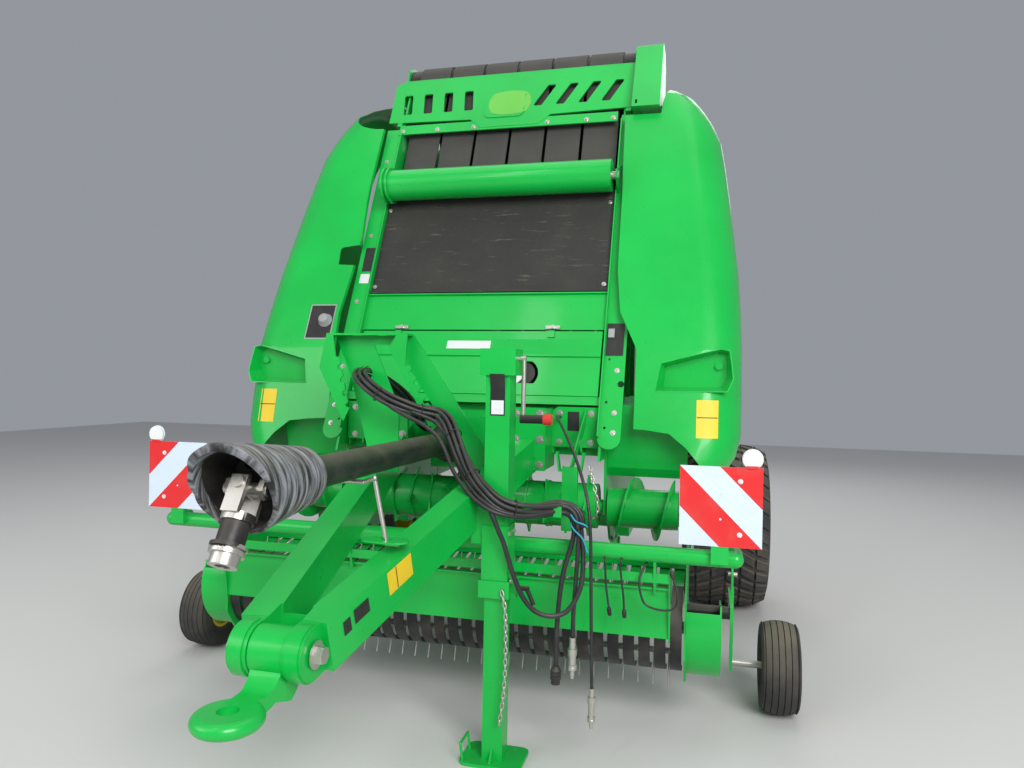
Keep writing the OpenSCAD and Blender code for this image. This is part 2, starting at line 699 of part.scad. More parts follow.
rod_lean = atan2(eye_tab[0] - rod_head[0], rod_head[2] - rod_foot);
module shaft_support() {
    color(steel) {
        difference() {
            translate([eye_tab[0], rod_y, rod_foot]) rotate([0, -rod_lean, 0])
                cylinder(r = 7, h = (rod_head[2] - rod_foot) / cos(rod_lean), $fn = 40);
            bar_x(rod_y, shaft_z, shaft_r + seat_gap, -200, 200);
        }
        // Hook under the tab
        translate([eye_tab[0], rod_y, rod_foot]) sphere(r = 7, $fn = 32);
        bar_x(rod_y, rod_foot, 7, eye_tab[0], eye_tab[0] + 40, 40);
        // Cradle under the guard tube
        translate(rod_head) sphere(r = 8, $fn = 32);
        translate(rod_head) rotate([0, -112, 0]) cylinder(r = 7, h = 40, $fn = 40);
        translate([38, rod_y, 1061]) sphere(r = 8, $fn = 32);
        bar_x(rod_y, shaft_z - shaft_r - 7 - seat_gap, 7, -40, 38, 40);
        translate([-40, rod_y, shaft_z - shaft_r - 7 - seat_gap]) rotate([0, -50, 0])
            cylinder(r = 7, h = 34, $fn = 40);
    }
}

// Sheets below the side shields, seated on the pivot brackets
module lower_shields() {
    color(green) both() plate_x([[front_at(1280) + 40, 1280], [front_at(1280) + 46, 1283], [-330, 1000],
        [-300, 960], [-307, 956], [-339, 997]], bracket_out, 980);
}

// Folded lid in the lower front, hinged at its lower edge
cover_low = slope(1312);
cover_high = slope(1606);
module front_cover() {
    color(green) on_front() difference() {
        union() {
            translate([-chamber_half + 18, cover_low, 8]) cube([2 * chamber_half - 36,
                cover_high - cover_low, 6]);
            translate([-chamber_half + 18, cover_low, -20]) cube([2 * chamber_half - 36, 6, 30]);
            // Fold across the lid and the two latch pads
            plate_x([[cover_low + 182, 10], [cover_low + 190, 22], [cover_low + 196, 22],
                [cover_high, 10]],
                -chamber_half + 18, chamber_half - 18);
            for (x = [-407, 354]) translate([x - 16, cover_high - 34, 14]) cube([32, 34, 8]);
        }
        // Opening with one flat side
        translate([240, cover_low + 104, -1]) linear_extrude(40) intersection() {
            circle(r = 72, $fn = 48);
            translate([-72, -48]) square([144, 110]);
        }
    }
    color("white") on_front() translate([240, cover_low + 106, 2]) cylinder(r = 56, h = 8, $fn = 48);
}

// Side shields: sheet shells lofted through level sections, open to the wall, below and behind
left_hinge_x = -700;
left_hinge_y = 530;
right_hinge_x = 860;
right_hinge_y = 600;
shield_hinge_z = 2930;
shield_pin_r = 12;
shield_rear = 800;
face = front_at(shield_fold) - shield_out;
// Rows: height, outer x, front y, run of the sheet along y
shield_rows = [
    [shield_low - 95, shield_x - 80, face - 119, shield_t],
    [shield_low - 5, shield_x - 22, face - 100, shield_t],
    [shield_low + 85, shield_x, face - 81, shield_t],
    [1300, shield_x + 2, face - 49, shield_t],
    [shield_fold, shield_x + 1, face, shield_t],
    [1700, shield_x - 4, front_at(1700) - shield_out, shield_t],
    [1900, shield_x - 16, front_at(1900) - shield_out, shield_t],
    [2100, shield_x - 38, front_at(2100) - shield_out, shield_t],
    [2300, shield_x - 60, front_at(2300) - shield_out, shield_t],
    [2450, shield_x - 79, front_at(2450) - shield_out, shield_t],
    [2600, shield_x - 102, front_at(2600) - shield_out, shield_t],
    [2700, shield_x - 140, front_at(2700) - shield_out, shield_t],
    [2790, shield_x - 190, front_at(2790) - shield_out, shield_t + 1],
    [2860, shield_x - 240, front_at(2860) - shield_out, shield_t + 4],
    [shield_top - 52, shield_x - 286, front_at(2860) + 20, shield_t + 8],
    [shield_top - 20, shield_x - 308, front_at(2860) + 100, shield_t + 12],
    [shield_top, shield_x - 322, front_at(2860) + 200, shield_t + 16]];
// Section at one row: return flange, front, rounded corner and side, inset by the sheet on the way back
function shield_out_path(row, x_in) = concat([[x_in, row[2] + 25], [x_in, row[2]]],
    [for (a = [0:15:90]) [row[1] - 180 + 180 * sin(a), row[2] + 200 - 200 * cos(a)]], [[row[1],
    shield_rear]]);
function shield_in_path(row, x_in) = concat([[x_in + shield_t, row[2] + 25],
    [x_in + shield_t, row[2] + row[3]]],
    [for (a = [0:15:90]) [row[1] - 180 + (180 - shield_t) * sin(a),
    row[2] + 200 - (200 - row[3]) * cos(a)]],
    [[row[1] - shield_t, shield_rear]]);
function reverse(list) = [for (i = [len(list) - 1:-1:0]) list[i]];
module shield_shell(inner) {
    n = len(shield_rows);
    m = 20;
    rings = [for (row = shield_rows) let (x_in = lookup(row[0], inner))
        [for (p = concat(shield_out_path(row, x_in), reverse(shield_in_path(row, x_in)))) [p[0], p[1],
            row[0]]]];
    walls = [for (i = [0:n - 2], k = [0:m - 1]) let (a = i * m + k, b = i * m + (k + 1) % m)
        each [[a, b, a + m], [b, b + m, a + m]]];
    caps = [for (k = [0:m / 2 - 2]) let (a = k, b = k + 1, c = m - 2 - k, d = m - 1 - k, t = (n - 1) * m)
        each [[a, c, b], [a, d, c], [t + a, t + b, t + c], [t + a, t + c, t + d]]];
    polyhedron([for (ring = rings) each ring], [for (f = concat(walls, caps)) reverse(f)]);
    // Flat roof behind the last section
    top = shield_rows[n - 1];
    x_top = lookup(top[0], inner);
    translate([0, 0, top[0] - shield_t]) linear_extrude(shield_t)
        polygon(concat(shield_out_path(top, x_top), [[x_top, shield_rear]]));
}
// Handle pocket: opening at the front and a smaller floor behind
pocket_front = [[825, 1340], [1150, 1345], [1178, 1400], [1165, 1550], [1130, 1556], [840, 1480]];
pocket_floor = [[870, 1362], [1115, 1366], [1140, 1410], [1136, 1508], [1100, 1516], [880, 1455]];
module pocket(grow) {
    hull() {
        side_y(face - 90, face - 80) offset(delta = grow) polygon(pocket_front);
        side_y(face + 44, face + 46 + grow) offset(delta = grow) polygon(pocket_floor);
    }
}
module shield(inner) {
    difference() {
        union() {
            difference() {
                shield_shell(inner);
                // Rising lower edge towards the column
                side_y(-900, 900) polygon([[500, 900], [1062, 900], [1050, 1000], [1028, 1045],
                    [975, 1108],
                    [903, 1166], [806, 1178], [500, 1196]]);
            }
            intersection() {
                pocket(4);
                plate_x([[face - 50, 1300], [face, shield_fold], [face + 80, 1700], [0, 1700],
                    [0, 1300]], 700, 1300);
            }
        }
        pocket(0);
    }
    // Lock in the pocket
    translate([1105, face + 46, 1460]) rotate([90, 0, 0]) cylinder(r = 16, h = 14, $fn = 32);
}
// Knuckles under the roof, on both ends of the hinge rail
module knuckles(x, y, half) {
    for (y0 = [y - half - 24, y + half + 2]) difference() {
        union() {
            bar_y(x, shield_hinge_z, 20, y0, y0 + 22);
            box([x - 8, y0, shield_hinge_z + 10], [x + 8, y0 + 22, shield_top - 2]);
        }
        bar_y(x, shield_hinge_z, shield_pin_r + pin_gap, y0 - 1, y0 + 23);
    }
}
module shield_right() {
    color(green) knuckles(right_hinge_x, right_hinge_y, 40);
    color(green) difference() {
        shield([[1550, 752], [1611, 735], [1702, 668], [1900, 645], [2300, 640], [2500, 632],
            [2770, 626]]);
        // Clear of the drive's box and the hinge rail
        side_y(-300, 900) polygon([[500, 2738], [806, 2738], [812, 2800], [832, 2880],
            [right_hinge_x - 4, 2960], [right_hinge_x - 4, 3100], [500, 3100]]);
    }
}
module shield_left() {
    color(green) knuckles(left_hinge_x, left_hinge_y, 60);
    color(green) difference() {
        mirror([1, 0, 0]) shield([[1190, 700], [1533, 717], [1702, 727], [2073, 690], [2370, 712],
            [2750, 704], [2965, 690]]);
        // Half-oval opening beside the grille, and a notch
        side_y(-300, 320) polygon(concat([[left_hinge_x + 80, 2936]],
            [for (a = [90:-15:-90]) [left_hinge_x - 8 - 180 * cos(a), 2846 + 90 * sin(a)]],
            [[left_hinge_x + 80, 2756]]));
        side_y(-500, 200) polygon([[left_hinge_x + 60, 1950], [left_hinge_x - 90, 1958],
            [left_hinge_x - 96, 2040],
            [left_hinge_x - 84, 2052], [left_hinge_x + 60, 2072]]);
    }
}

// Wheels: profile turned round the axle
module tyre(r, w, bore) {
    rotate([0, 90, 0]) rotate_extrude($fn = 96) polygon([[bore, -w * 0.36], [bore + 20, -w * 0.42],
        [bore + (r - bore) * 0.45, -w / 2], [r - w * 0.09, -w * 0.47], [r - w * 0.03, -w * 0.40],
        [r, -w * 0.2],
        [r, w * 0.2], [r - w * 0.03, w * 0.40], [r - w * 0.09, w * 0.47],
        [bore + (r - bore) * 0.45, w / 2],
        [bore + 20, w * 0.42], [bore, w * 0.36]]);
}
module rim(r, w, hub) {
    rotate([0, 90, 0]) rotate_extrude($fn = 72) polygon([[hub, -8], [r * 0.62, -8], [r * 0.8, -w * 0.10],
        [r - 14, -w * 0.10], [r - 14, -w * 0.36], [r, -w * 0.36], [r, w * 0.36], [r - 14, w * 0.36],
        [r - 14, -w * 0.06], [r * 0.82, -w * 0.06], [r * 0.64, 8], [hub, 8]]);
}
module tyre_right() {
    color(rubber) translate([tyre_x, axle_y, tyre_r]) tyre(tyre_r, tyre_w, rim_r);
}
module tyre_left() {
    mirror([1, 0, 0]) tyre_right();
}
module rim_right() {
    color(yellow) translate([tyre_x, axle_y, tyre_r]) rim(rim_r, tyre_w, 45 + pin_gap);
}
module rim_left() {
    mirror([1, 0, 0]) rim_right();
}
gauge_y = -380;
gauge_rim_r = 95;
module gauge_tyre_right() {
    color(rubber) translate([gauge_x, gauge_y, gauge_r]) tyre(gauge_r, gauge_w, gauge_rim_r);
}
module gauge_tyre_left() {
    mirror([1, 0, 0]) gauge_tyre_right();
}
module gauge_rim_right() {
    color(yellow) translate([gauge_x, gauge_y, gauge_r]) rim(gauge_rim_r, gauge_w, 15 + pin_gap);
}
module gauge_rim_left() {
    mirror([1, 0, 0]) gauge_rim_right();
}

// Pickup: end plates, cross tube, stripper bands
pickup_pivot_y = -110;
pickup_pivot_z = 620;
module pickup_frame() {
    color(green) {
        both() difference() {
            plate_x([[-820, 330], [-740, 220], [-560, 200], [-460, 330], [-400, 560], [-420, 810],
                [-500, 810], [-700, 600], [-800, 540]], pickup_half, pickup_half + 8);
            bar_x(reel_y, reel_z, 25 + pin_gap, pickup_half - 1, pickup_half + 9, 32);
        }
        // Curved outer panels on three ribs
        both() {
            side_x(pickup_half + 8, 1128) polygon(concat(arc(-600, 430, 215, 158, 245, 10),
                arc(-600, 430, 211, 245, 158, 10)));
            difference() {
                plate_x(concat(arc(-600, 430, 214, 150, 250, 10), [[-560, 300],
                    [-560, 500]]), 1122, 1128);
                bar_x(-700, 492, 24 + seat_gap, 1100, 1140);
            }
        }
        both() {
            bar_x(guard_pivot_y, guard_pivot_z, 20, pickup_half + 8, pickup_half + 20 - seat_gap, 32);
            bar_x(guard_pivot_y, guard_pivot_z, 12, pickup_half + 8, pickup_half + 36, 32);
        }
        box([-pickup_half, -500, 600], [pickup_half, -440, 660]);
        both() difference() {
            plate_x([[-500, 604], [-500, 656], [pickup_pivot_y, pickup_pivot_z + 36],
                [pickup_pivot_y + 36, pickup_pivot_z], [pickup_pivot_y, pickup_pivot_z - 36]],
                bracket_out + 16, bracket_out + 28);
            bar_x(pickup_pivot_y, pickup_pivot_z, 20 + pin_gap, wall_out + 20, wall_out + 50, 32);
        }
    }
    color(dark) for (i = [0:tine_n]) translate([band_x(i), 0, 0]) side_x(0, band_w) {
        difference() {
            translate([reel_y, reel_z]) circle(r = band_r, $fn = 48);
            translate([reel_y, reel_z]) circle(r = band_r - 5, $fn = 48);
            polygon([[reel_y + 40, 0], [reel_y + 500, 0], [reel_y + 500, 900], [reel_y, 900],
                [reel_y, reel_z]]);
        }
        polygon([[reel_y, reel_z + band_r], [-440, 604], [-440, 598], [reel_y, reel_z + band_r - 5]]);
    }
}
tine_pitch = (2 * pickup_half - 60) / tine_n;
band_w = tine_pitch - 16;
function band_x(i) = -pickup_half + 30 - band_w / 2 + tine_pitch * i;
module pickup_reel() {
    color(steel) {
        bar_x(reel_y, reel_z, 25, -pickup_half - 20, pickup_half + 20, 32);
        for (a = [0:90:270]) translate([0, reel_y, reel_z]) rotate([a, 0, 0]) {
            bar_x(0, 100, 12, -pickup_half + 12, pickup_half - 12, 16);
            for (x = [-pickup_half + 12, -300, 300, pickup_half - 20]) box([x, -14, 0], [x + 8, 14, 100]);
            for (i = [0:tine_n - 1]) translate([-pickup_half + 30 + tine_pitch * (i + 0.5), 0, 100])
                rotate([-18, 0, 0]) cylinder(r = 3, h = (tine_r - 100) / cos(18), $fn = 6);
        }
    }
}
module gauge_arms() {
    both() {
        color(dark) bar_x(-700, 492, 24, pickup_half + 8, 1160, 32);
        color(green) {
            box([1160, -730, 462], [1172, -420, 522]);
            plate_x([[-450, 522], [-420, 522], [-350, 220], [-350, 160], [-410, 160], [-450, 330]],
                1172, 1184);
            // Bent lug with the height pin
            plate_x([[-472, 490], [-402, 490], [-402, 590], [-430, 620], [-472, 590]], 1172, 1180);
        }
        color(steel) {
            bar_x(gauge_y, gauge_r, 15, 1184, gauge_x + 20, 32);
            bar_x(-435, 580, 9, 1160, 1196, 20);
        }
    }
}

// Crop guard: pipe with bent ends, folded plate and arms
guard_pivot_y = -460;
guard_pivot_z = 780;
pipe_half = 1165;
module wind_guard() {
    color(green) {
        bar_x(pipe_y, pipe_z, pipe_d / 2, -pipe_half, pipe_half, 32);
        both() translate([pipe_half, pipe_y, pipe_z]) sphere(r = pipe_d / 2, $fn = 32);
        both() translate([pipe_half, pipe_y, pipe_z]) rotate([-90, 0, 0])
            cylinder(d = pipe_d, h = 90, $fn = 32);
        // Rail, folded plate and its end plates
        plate_x([[-940, 656], [-905, 651], [-905, 645], [-946, 650], [-946, 684], [-940, 684]],
            -938, 938);
        plate_x([[-928, 627], [-905, 628], [-905, 560], [-885, 520], [-885, 436], [-874, 431],
            [-874, 425], [-893, 430], [-893, 518], [-913, 556], [-913, 621], [-928, 620]], -938, 938);
        both() plate_x([[-950, 690], [-900, 690], [-876, 634], [-868, 520], [-878, 418], [-898, 418],
            [-918, 550], [-936, 616]], 935, 941);
        both() for (x = [330, 880]) plate_x([[pipe_y - 20, pipe_z - 10], [pipe_y + 20, pipe_z + 10],
            [-896, 604], [-930, 604]], x, x + 10);
        both() difference() {
            plate_x([[pipe_y, pipe_z - 20], [guard_pivot_y, guard_pivot_z - 25],
                [guard_pivot_y + 25, guard_pivot_z], [guard_pivot_y, guard_pivot_z + 25],
                [pipe_y, pipe_z + 20]],
                pickup_half + 20, pickup_half + 30);
            bar_x(guard_pivot_y, guard_pivot_z, 12 + pin_gap, pickup_half + 19, pickup_half + 31, 32);
        }
    }
}
sign_y = -1005;
module sign_boards() {
    both() {
        color("white") difference() {
            box([sign_x - sign_w / 2, sign_y - 2, sign_z - sign_w / 2],
                [sign_x + sign_w / 2, sign_y, sign_z + sign_w / 2]);
            for (z = [-44, 44]) translate([sign_x, sign_y - 3, sign_z + z]) rotate([-90, 0, 0])
                cylinder(r = 4, h = 4, $fn = 16);
        }
        color(green) difference() {
            union() {
                box([sign_x - 30, sign_y, pipe_z - 10], [sign_x + 30, sign_y + 24, sign_z + 60]);
                box([sign_x + 30, sign_y, 1030], [1244, sign_y + 4, 1076]);
                box([1204, sign_y, 1030], [1228, sign_y + 4, 1124]);
                translate([1216, sign_y, 1124]) rotate([-90, 0, 0]) cylinder(r = 36, h = 4, $fn = 48);
            }
            bar_x(pipe_y, pipe_z, pipe_d / 2 + seat_gap, 900, 1300, 32);
        }
        // Round reflector
        color("white") translate([1216, sign_y - 8, 1124]) rotate([-90, 0, 0])
            cylinder(r = 34, h = 8, $fn = 48);
    }
}

// Feed rotor with auger ends
module feed_rotor() {
    color(green) {
        bar_x(rotor_y, rotor_z, drum_r, -590, 590, 48);
        bar_x(rotor_y, rotor_z, 30, -690, 690, 40);
        // Toothed discs in the middle
        for (i = [0:12]) translate([-546 + 91 * i, rotor_y, rotor_z]) rotate([30 * i, 0, 0])
            side_x(-5, 5) polygon([for (k = [0:23]) let (rr = (k % 6 == 0) ? flight_r : drum_r + 6)
                [rr * cos(15 * k), rr * sin(15 * k)]]);
        // Auger ends: drum and a flight that winds outwards
        both() {
            bar_x(rotor_y, rotor_z, 86, 640, 945, 40);
            translate([660, rotor_y, rotor_z]) rotate([0, 90, 0])
                linear_extrude(height = 270, twist = 540, slices = 30)
                    polygon([for (p = [[flight_r, 0], [flight_r, 10], [flight_r, 20], [80, 20], [80, 0]])
                        p[0] * [cos(p[1]), sin(p[1])]]);
        }
    }
}

// Tailgate
gate_front_y = 840;
function arc(cy, cz, r, a0, a1, n) = [for (i = [0:n]) let (a = a0 + (a1 - a0) * i / n)
    [cy + r * cos(a), cz + r * sin(a)]];
gate_a0 = acos((gate_front_y - bale_y) / gate_r);
module gate_frame() {
    color(green) {
        both() plate_x(concat(arc(bale_y, bale_z, gate_r, gate_a0, -62, 36), [[gate_front_y, 760]]),
            chamber_half, wall_out);
        both() plate_x(concat(arc(bale_y, bale_z, gate_r, gate_a0, -62, 36),
            arc(bale_y, bale_z, gate_r - 8, -62, gate_a0, 36)), wall_out, wall_out + 60);
        both() difference() {
            plate_x([[gate_hinge_y - 40, gate_hinge_z - 10], [gate_hinge_y - 10, gate_hinge_z + 40],
                [gate_hinge_y + 60, gate_hinge_z + 40], [gate_front_y + 90, 2880],
                [gate_front_y + 60, 2700],
                [gate_front_y, 2740], [gate_hinge_y + 20, gate_hinge_z - 45]],
                wall_out + 18 + seat_gap, wall_out + 30);
            bar_x(gate_hinge_y, gate_hinge_z, 22 + pin_gap, wall_out + 10, wall_out + 40, 32);
        }
        both() box([wall_out, gate_front_y + 10, 2720], [wall_out + 30, gate_front_y + 70, 2800]);
        box([-chamber_half, 2080, 1210], [chamber_half, 2125, 1270]);
        // Curved rear bars between the sides, and pressed ribs on each side
        for (a = [-40, 4, 46, 84]) bar_x(bale_y + (gate_r - 40) * cos(a),
            bale_z + (gate_r - 40) * sin(a), 30,
            -chamber_half, chamber_half, 32);
        both() for (r = [420, 760]) side_x(wall_out, wall_out + 14)
            polygon(concat(arc(bale_y, bale_z, r, 60, -60, 24),
            arc(bale_y, bale_z, r - 50, -60, 60, 24)));
    }
    color(green) both() bar_x(eye_p[0], eye_p[1], 40, wall_out, cyl_x - 36);
}
module gate_belts() {
    color(rubber) belt_rows() side_x(0, belt_w) polygon(concat(arc(bale_y, bale_z, gate_r - 90, 100, -58,
        40),
        arc(bale_y, bale_z, gate_r - 90 - belt_t, -58, 100, 40)));
}
module gate_rollers() {
    color(dark) for (a = [100, 62, 20, -20, -56]) bar_x(bale_y + (gate_r - 90 + small_roller_r) * cos(a),
        bale_z + (gate_r - 90 + small_roller_r) * sin(a), small_roller_r - 0.3, -chamber_half,
        chamber_half, 40);
}
module rear_lamps() {
    color([0.7, 0.05, 0.03]) both() for (x = [wall_out + 110, wall_out + 200])
        translate([x, 2096, 1240]) rotate([90, 0, 0]) cylinder(r1 = 34, r2 = 40, h = 16, $fn = 40);
    color(green) both() {
        box([wall_out + 20, 2072, 1150], [wall_out + 260, 2080, 1300]);
        box([wall_out, 2040, 1200], [wall_out + 28, 2080, 1280]);
    }
}

// Gate cylinders, one on each side
cyl_x = wall_out + 86;
cyl_y = 450;
cyl_z = 1050;
eye_p = [1300, 2300];
cyl_vec = [eye_p[0] - cyl_y, eye_p[1] - cyl_z];
cyl_len = norm(cyl_vec);
cyl_ang = atan2(cyl_vec[1], cyl_vec[0]);
module along_cyl() {
    translate([cyl_x, cyl_y, cyl_z]) rotate([cyl_ang, 0, 0]) children();
}
module gate_barrels() {
    color(dark) both() along_cyl() {
        difference() {
            union() {
                translate([-25, 0, 0]) rotate([0, 90, 0]) cylinder(r = 38, h = 50, $fn = 40);
                translate([0, 30, 0]) rotate([-90, 0, 0]) cylinder(r = 38, h = 1050, $fn = 40);
            }
            translate([-40, 0, 0]) rotate([0, 90, 0]) cylinder(r = 20 + pin_gap, h = 80, $fn = 40);
            translate([0, 70, 0]) rotate([-90, 0, 0]) cylinder(r = 22, h = 1100, $fn = 40);
        }
    }
}
module gate_rods() {
    color(steel) both() along_cyl() {
        union() {
            union() {
                translate([-25, cyl_len, 0]) rotate([0, 90, 0]) cylinder(r = 36, h = 50, $fn = 40);
                translate([-30, cyl_len, 0]) rotate([0, 90, 0]) cylinder(r = 20, h = 66, $fn = 40);
                translate([0, 120, 0]) rotate([-90, 0, 0]) cylinder(r = 22 - seat_gap, h = cyl_len - 150,
                    $fn = 40);
            }
        }
    }
}

// Hoses: tubes swept along their routes, each point a ring of n corners
bundle_d = 50;
loop_d = 18;
plug_d = 18;
coupler_d = 16;
thin_d = 12;
bundle_route = [[-194, -390, 1150], [-194, -460, 1160], [-196, -540, 1195], [-204, -620, 1250],
    [-225, -700, 1310],
    [-255, -780, 1358], [-285, -850, 1390], [-300, -905, 1400], [-296, -955, 1397], [-280, -1000, 1384],
    [-245, -1032, 1360],
    [-195, -1045, 1328], [-140, -1040, 1298], [-85, -1022, 1276], [-30, -990, 1257], [36, -961, 1245],
    [90, -990, 1215], [140, -1045, 1160], [190, -1105, 1100], [240, -1155, 1045], [295, -1186, 995],
    [355, -1186, 950], [420, -1160, 928], [485, -1110, 922], [545, -1056, 926], [586, -1046, 916],
    [609, -1046, 888], [615, -1046, 850]];
loop_route = [[265, -1170, 1020], [292, -1192, 985], [316, -1202, 945], [338, -1204, 900],
    [356, -1200, 855],
    [374, -1192, 810], [388, -1184, 760], [402, -1174, 710], [418, -1162, 660], [438, -1150, 612],
    [468, -1138, 572], [505, -1126, 550], [545, -1112, 545], [580, -1098, 556], [606, -1086, 584],
    [624, -1074, 622], [634, -1064, 665], [636, -1056, 710], [634, -1048, 760], [629, -1042, 805],
    [624, -1040, 850]];
plug_route = [[601, -1050, 850], [597, -1052, 810], [585, -1052, 765], [572, -1052, 720],
    [561, -1052, 670],
    [553, -1052, 610], [547, -1052, 540], [544, -1052, 470], [543, -1052, 405], [543, -1052, 345]];
coupler_route = [[617, -1060, 850], [618, -1062, 800], [616, -1060, 745], [612, -1054, 685],
    [607, -1048, 615],
    [603, -1046, 540], [602, -1046, 453]];
thin_route = [[430, -452, 1225], [430, -500, 1225], [433, -545, 1227], [440, -590, 1230],
    [450, -640, 1230],
    [464, -690, 1226], [481, -740, 1216], [501, -790, 1200], [523, -838, 1178], [547, -884, 1149],
    [572, -928, 1113], [597, -968, 1070], [620, -1002, 1022], [640, -1030, 970], [653, -1050, 915],
    [660, -1060, 860], [664, -1064, 800], [666, -1066, 735], [668, -1066, 660], [670, -1066, 580],
    [672, -1066, 500], [674, -1066, 425], [676, -1066, 355], [678, -1066, 284]];
function tangent(p, i) = let (v = p[min(i + 1, len(p) - 1)] - p[max(i - 1, 0)]) v / norm(v);
module hose(p, d, n = 8) {
    rings = [for (i = [0:len(p) - 1]) let (t = tangent(p, i), ref = abs(t[1]) > 0.8 ? [1, 0, 0] : [0, 1,
        0],
        u = cross(t, ref) / norm(cross(t, ref)), v = cross(t, u)) each [for (k = [0:n - 1])
        p[i] + d / 2 * (u * cos(360 * k / n) + v * sin(360 * k / n))]];
    last = (len(p) - 1) * n;
    sides = [for (i = [0:len(p) - 2], k = [0:n - 1]) let (a = i * n + k, b = i * n + (k + 1) % n)
        each [[a, b, a + n], [b, b + n, a + n]]];
    polyhedron(rings, concat(sides, [[for (k = [n - 1:-1:0]) k]], [[for (k = [0:n - 1]) last + k]]));
}
module hose_bundle() {
    color(rubber) hose(bundle_route, bundle_d, 12);
}
module hose_loop() {
    color(rubber) hose(loop_route, loop_d);
}
module plug_hose() {
    color(rubber) hose(plug_route, plug_d);
}
module coupler_hose() {
    color(rubber) hose(coupler_route, coupler_d);
}
module thin_hose() {
    color(rubber) hose(thin_route, thin_d);
}
// What hangs at the hoses' ends: a plug and two couplers
module end_fitting(p, rows) {
    for (row = rows) translate([p[0], p[1], p[2] - row[2]]) cylinder(r1 = row[1], r2 = row[0],
        h = row[2] - row[3], $fn = 48);
}
module hose_ends() {
    // Rows: upper radius, lower radius, lower end and upper end below the hose's end
    color(dark) end_fitting(plug_route[len(plug_route) - 1], [[11, 20, 14, 0], [20, 20, 48, 14],
        [17, 17, 66, 48]]);
    color(steel) end_fitting(coupler_route[len(coupler_route) - 1], [[12, 12, 40, 0], [17, 17, 66, 40],
        [14, 14, 96, 66], [18, 18, 118, 96], [9, 8, 153, 118]]);
    color(steel) end_fitting(thin_route[len(thin_route) - 1], [[9, 9, 30, 0], [14, 14, 56, 30],
        [11, 11, 100, 56],
        [14, 14, 120, 100], [7, 6, 145, 120]]);
}

chamber_walls();
axle();
front_frame();
belt_guard();
grille_plate();
front_belts();
belt_rollers();
guide_roller();
top_cowls();
front_beam();
drawbar();
gearbox();
hose_rack();
jack_tube();
jack_crank();
jack_leg();
shaft_support();
lower_shields();
front_cover();
shield_left();
shield_right();
hitch();
drive_shaft();
tyre_left();
tyre_right();
rim_left();
rim_right();
gauge_tyre_left();
gauge_tyre_right();
gauge_rim_left();
gauge_rim_right();
pickup_frame();
pickup_reel();
gauge_arms();
wind_guard();
sign_boards();
feed_rotor();
gate_frame();
gate_belts();
gate_rollers();
rear_lamps();
gate_barrels();
gate_rods();
hose_bundle();
hose_loop();
plug_hose();
coupler_hose();
thin_hose();
hose_ends();
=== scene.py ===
import math

import bpy
import numpy as np
from mathutils import Matrix, Vector
from mathutils.bvhtree import BVHTree


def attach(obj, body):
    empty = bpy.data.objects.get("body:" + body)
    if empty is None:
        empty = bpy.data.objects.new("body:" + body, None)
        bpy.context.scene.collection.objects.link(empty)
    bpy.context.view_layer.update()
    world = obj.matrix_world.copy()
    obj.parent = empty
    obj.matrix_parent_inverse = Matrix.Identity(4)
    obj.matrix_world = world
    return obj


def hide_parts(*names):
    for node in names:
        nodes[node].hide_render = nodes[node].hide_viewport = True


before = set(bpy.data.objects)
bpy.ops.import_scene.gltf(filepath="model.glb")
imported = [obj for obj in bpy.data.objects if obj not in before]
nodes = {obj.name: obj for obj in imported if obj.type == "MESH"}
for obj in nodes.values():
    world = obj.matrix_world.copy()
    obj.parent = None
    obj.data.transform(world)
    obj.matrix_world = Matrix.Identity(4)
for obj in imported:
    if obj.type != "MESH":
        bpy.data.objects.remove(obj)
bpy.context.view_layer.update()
MM_PER_M = 1000
ACROSS = (1, 0, 0)
ALONG = (0, 1, 0)
UP = (0, 0, 1)

# Colours, linear
COLORS = {
    "green": (0.003, 0.46, 0.060),
    "badge": (0.14, 0.52, 0.07),
    "bellDust": (0.34, 0.36, 0.39),
    "black": (0.016, 0.016, 0.017),
    "rubber": (0.040, 0.039, 0.038),
    "belt": (0.050, 0.049, 0.043),
    "sheet": (0.024, 0.024, 0.021),
    "hose": (0.024, 0.025, 0.028),
    "steel": (0.42, 0.42, 0.41),
    "zinc": (0.62, 0.60, 0.55),
    "dust": (0.30, 0.26, 0.19),
    "yellow": (0.86, 0.60, 0.02),
    "white": (0.74, 0.76, 0.76),
    "signRed": (0.70, 0.020, 0.022),
    "signWhite": (0.62, 0.72, 0.84),
    "lampRed": (0.50, 0.010, 0.008),
    "amber": (0.80, 0.25, 0.01),
    "gripRed": (0.60, 0.03, 0.02),
    "cyan": (0.02, 0.36, 0.52),
    "knob": (0.34, 0.35, 0.36),
    "tine": (0.46, 0.45, 0.42),
    "floor": (0.62, 0.61, 0.59),
    "sky": (0.86, 0.91, 1.0),
}


def nodeTree(name):
    mat = bpy.data.materials.new(name)
    mat.use_nodes = True
    tree = mat.node_tree
    tree.nodes.clear()
    out = tree.nodes.new("ShaderNodeOutputMaterial")
    shader = tree.nodes.new("ShaderNodeBsdfPrincipled")
    tree.links.new(shader.outputs[0], out.inputs["Surface"])
    return mat, tree, shader


def objectCoord(tree):
    return tree.nodes.new("ShaderNodeTexCoord").outputs["Object"]


def noise(tree, coord, scale, detail, rough=0.55, stretch=None):
    source = coord
    if stretch is not None:
        mapping = tree.nodes.new("ShaderNodeMapping")
        mapping.inputs["Scale"].default_value = stretch
        tree.links.new(coord, mapping.inputs["Vector"])
        source = mapping.outputs[0]
    tex = tree.nodes.new("ShaderNodeTexNoise")
    tex.inputs["Scale"].default_value = scale
    tex.inputs["Detail"].default_value = detail
    tex.inputs["Roughness"].default_value = rough
    tree.links.new(source, tex.inputs["Vector"])
    return tex.outputs["Fac"]


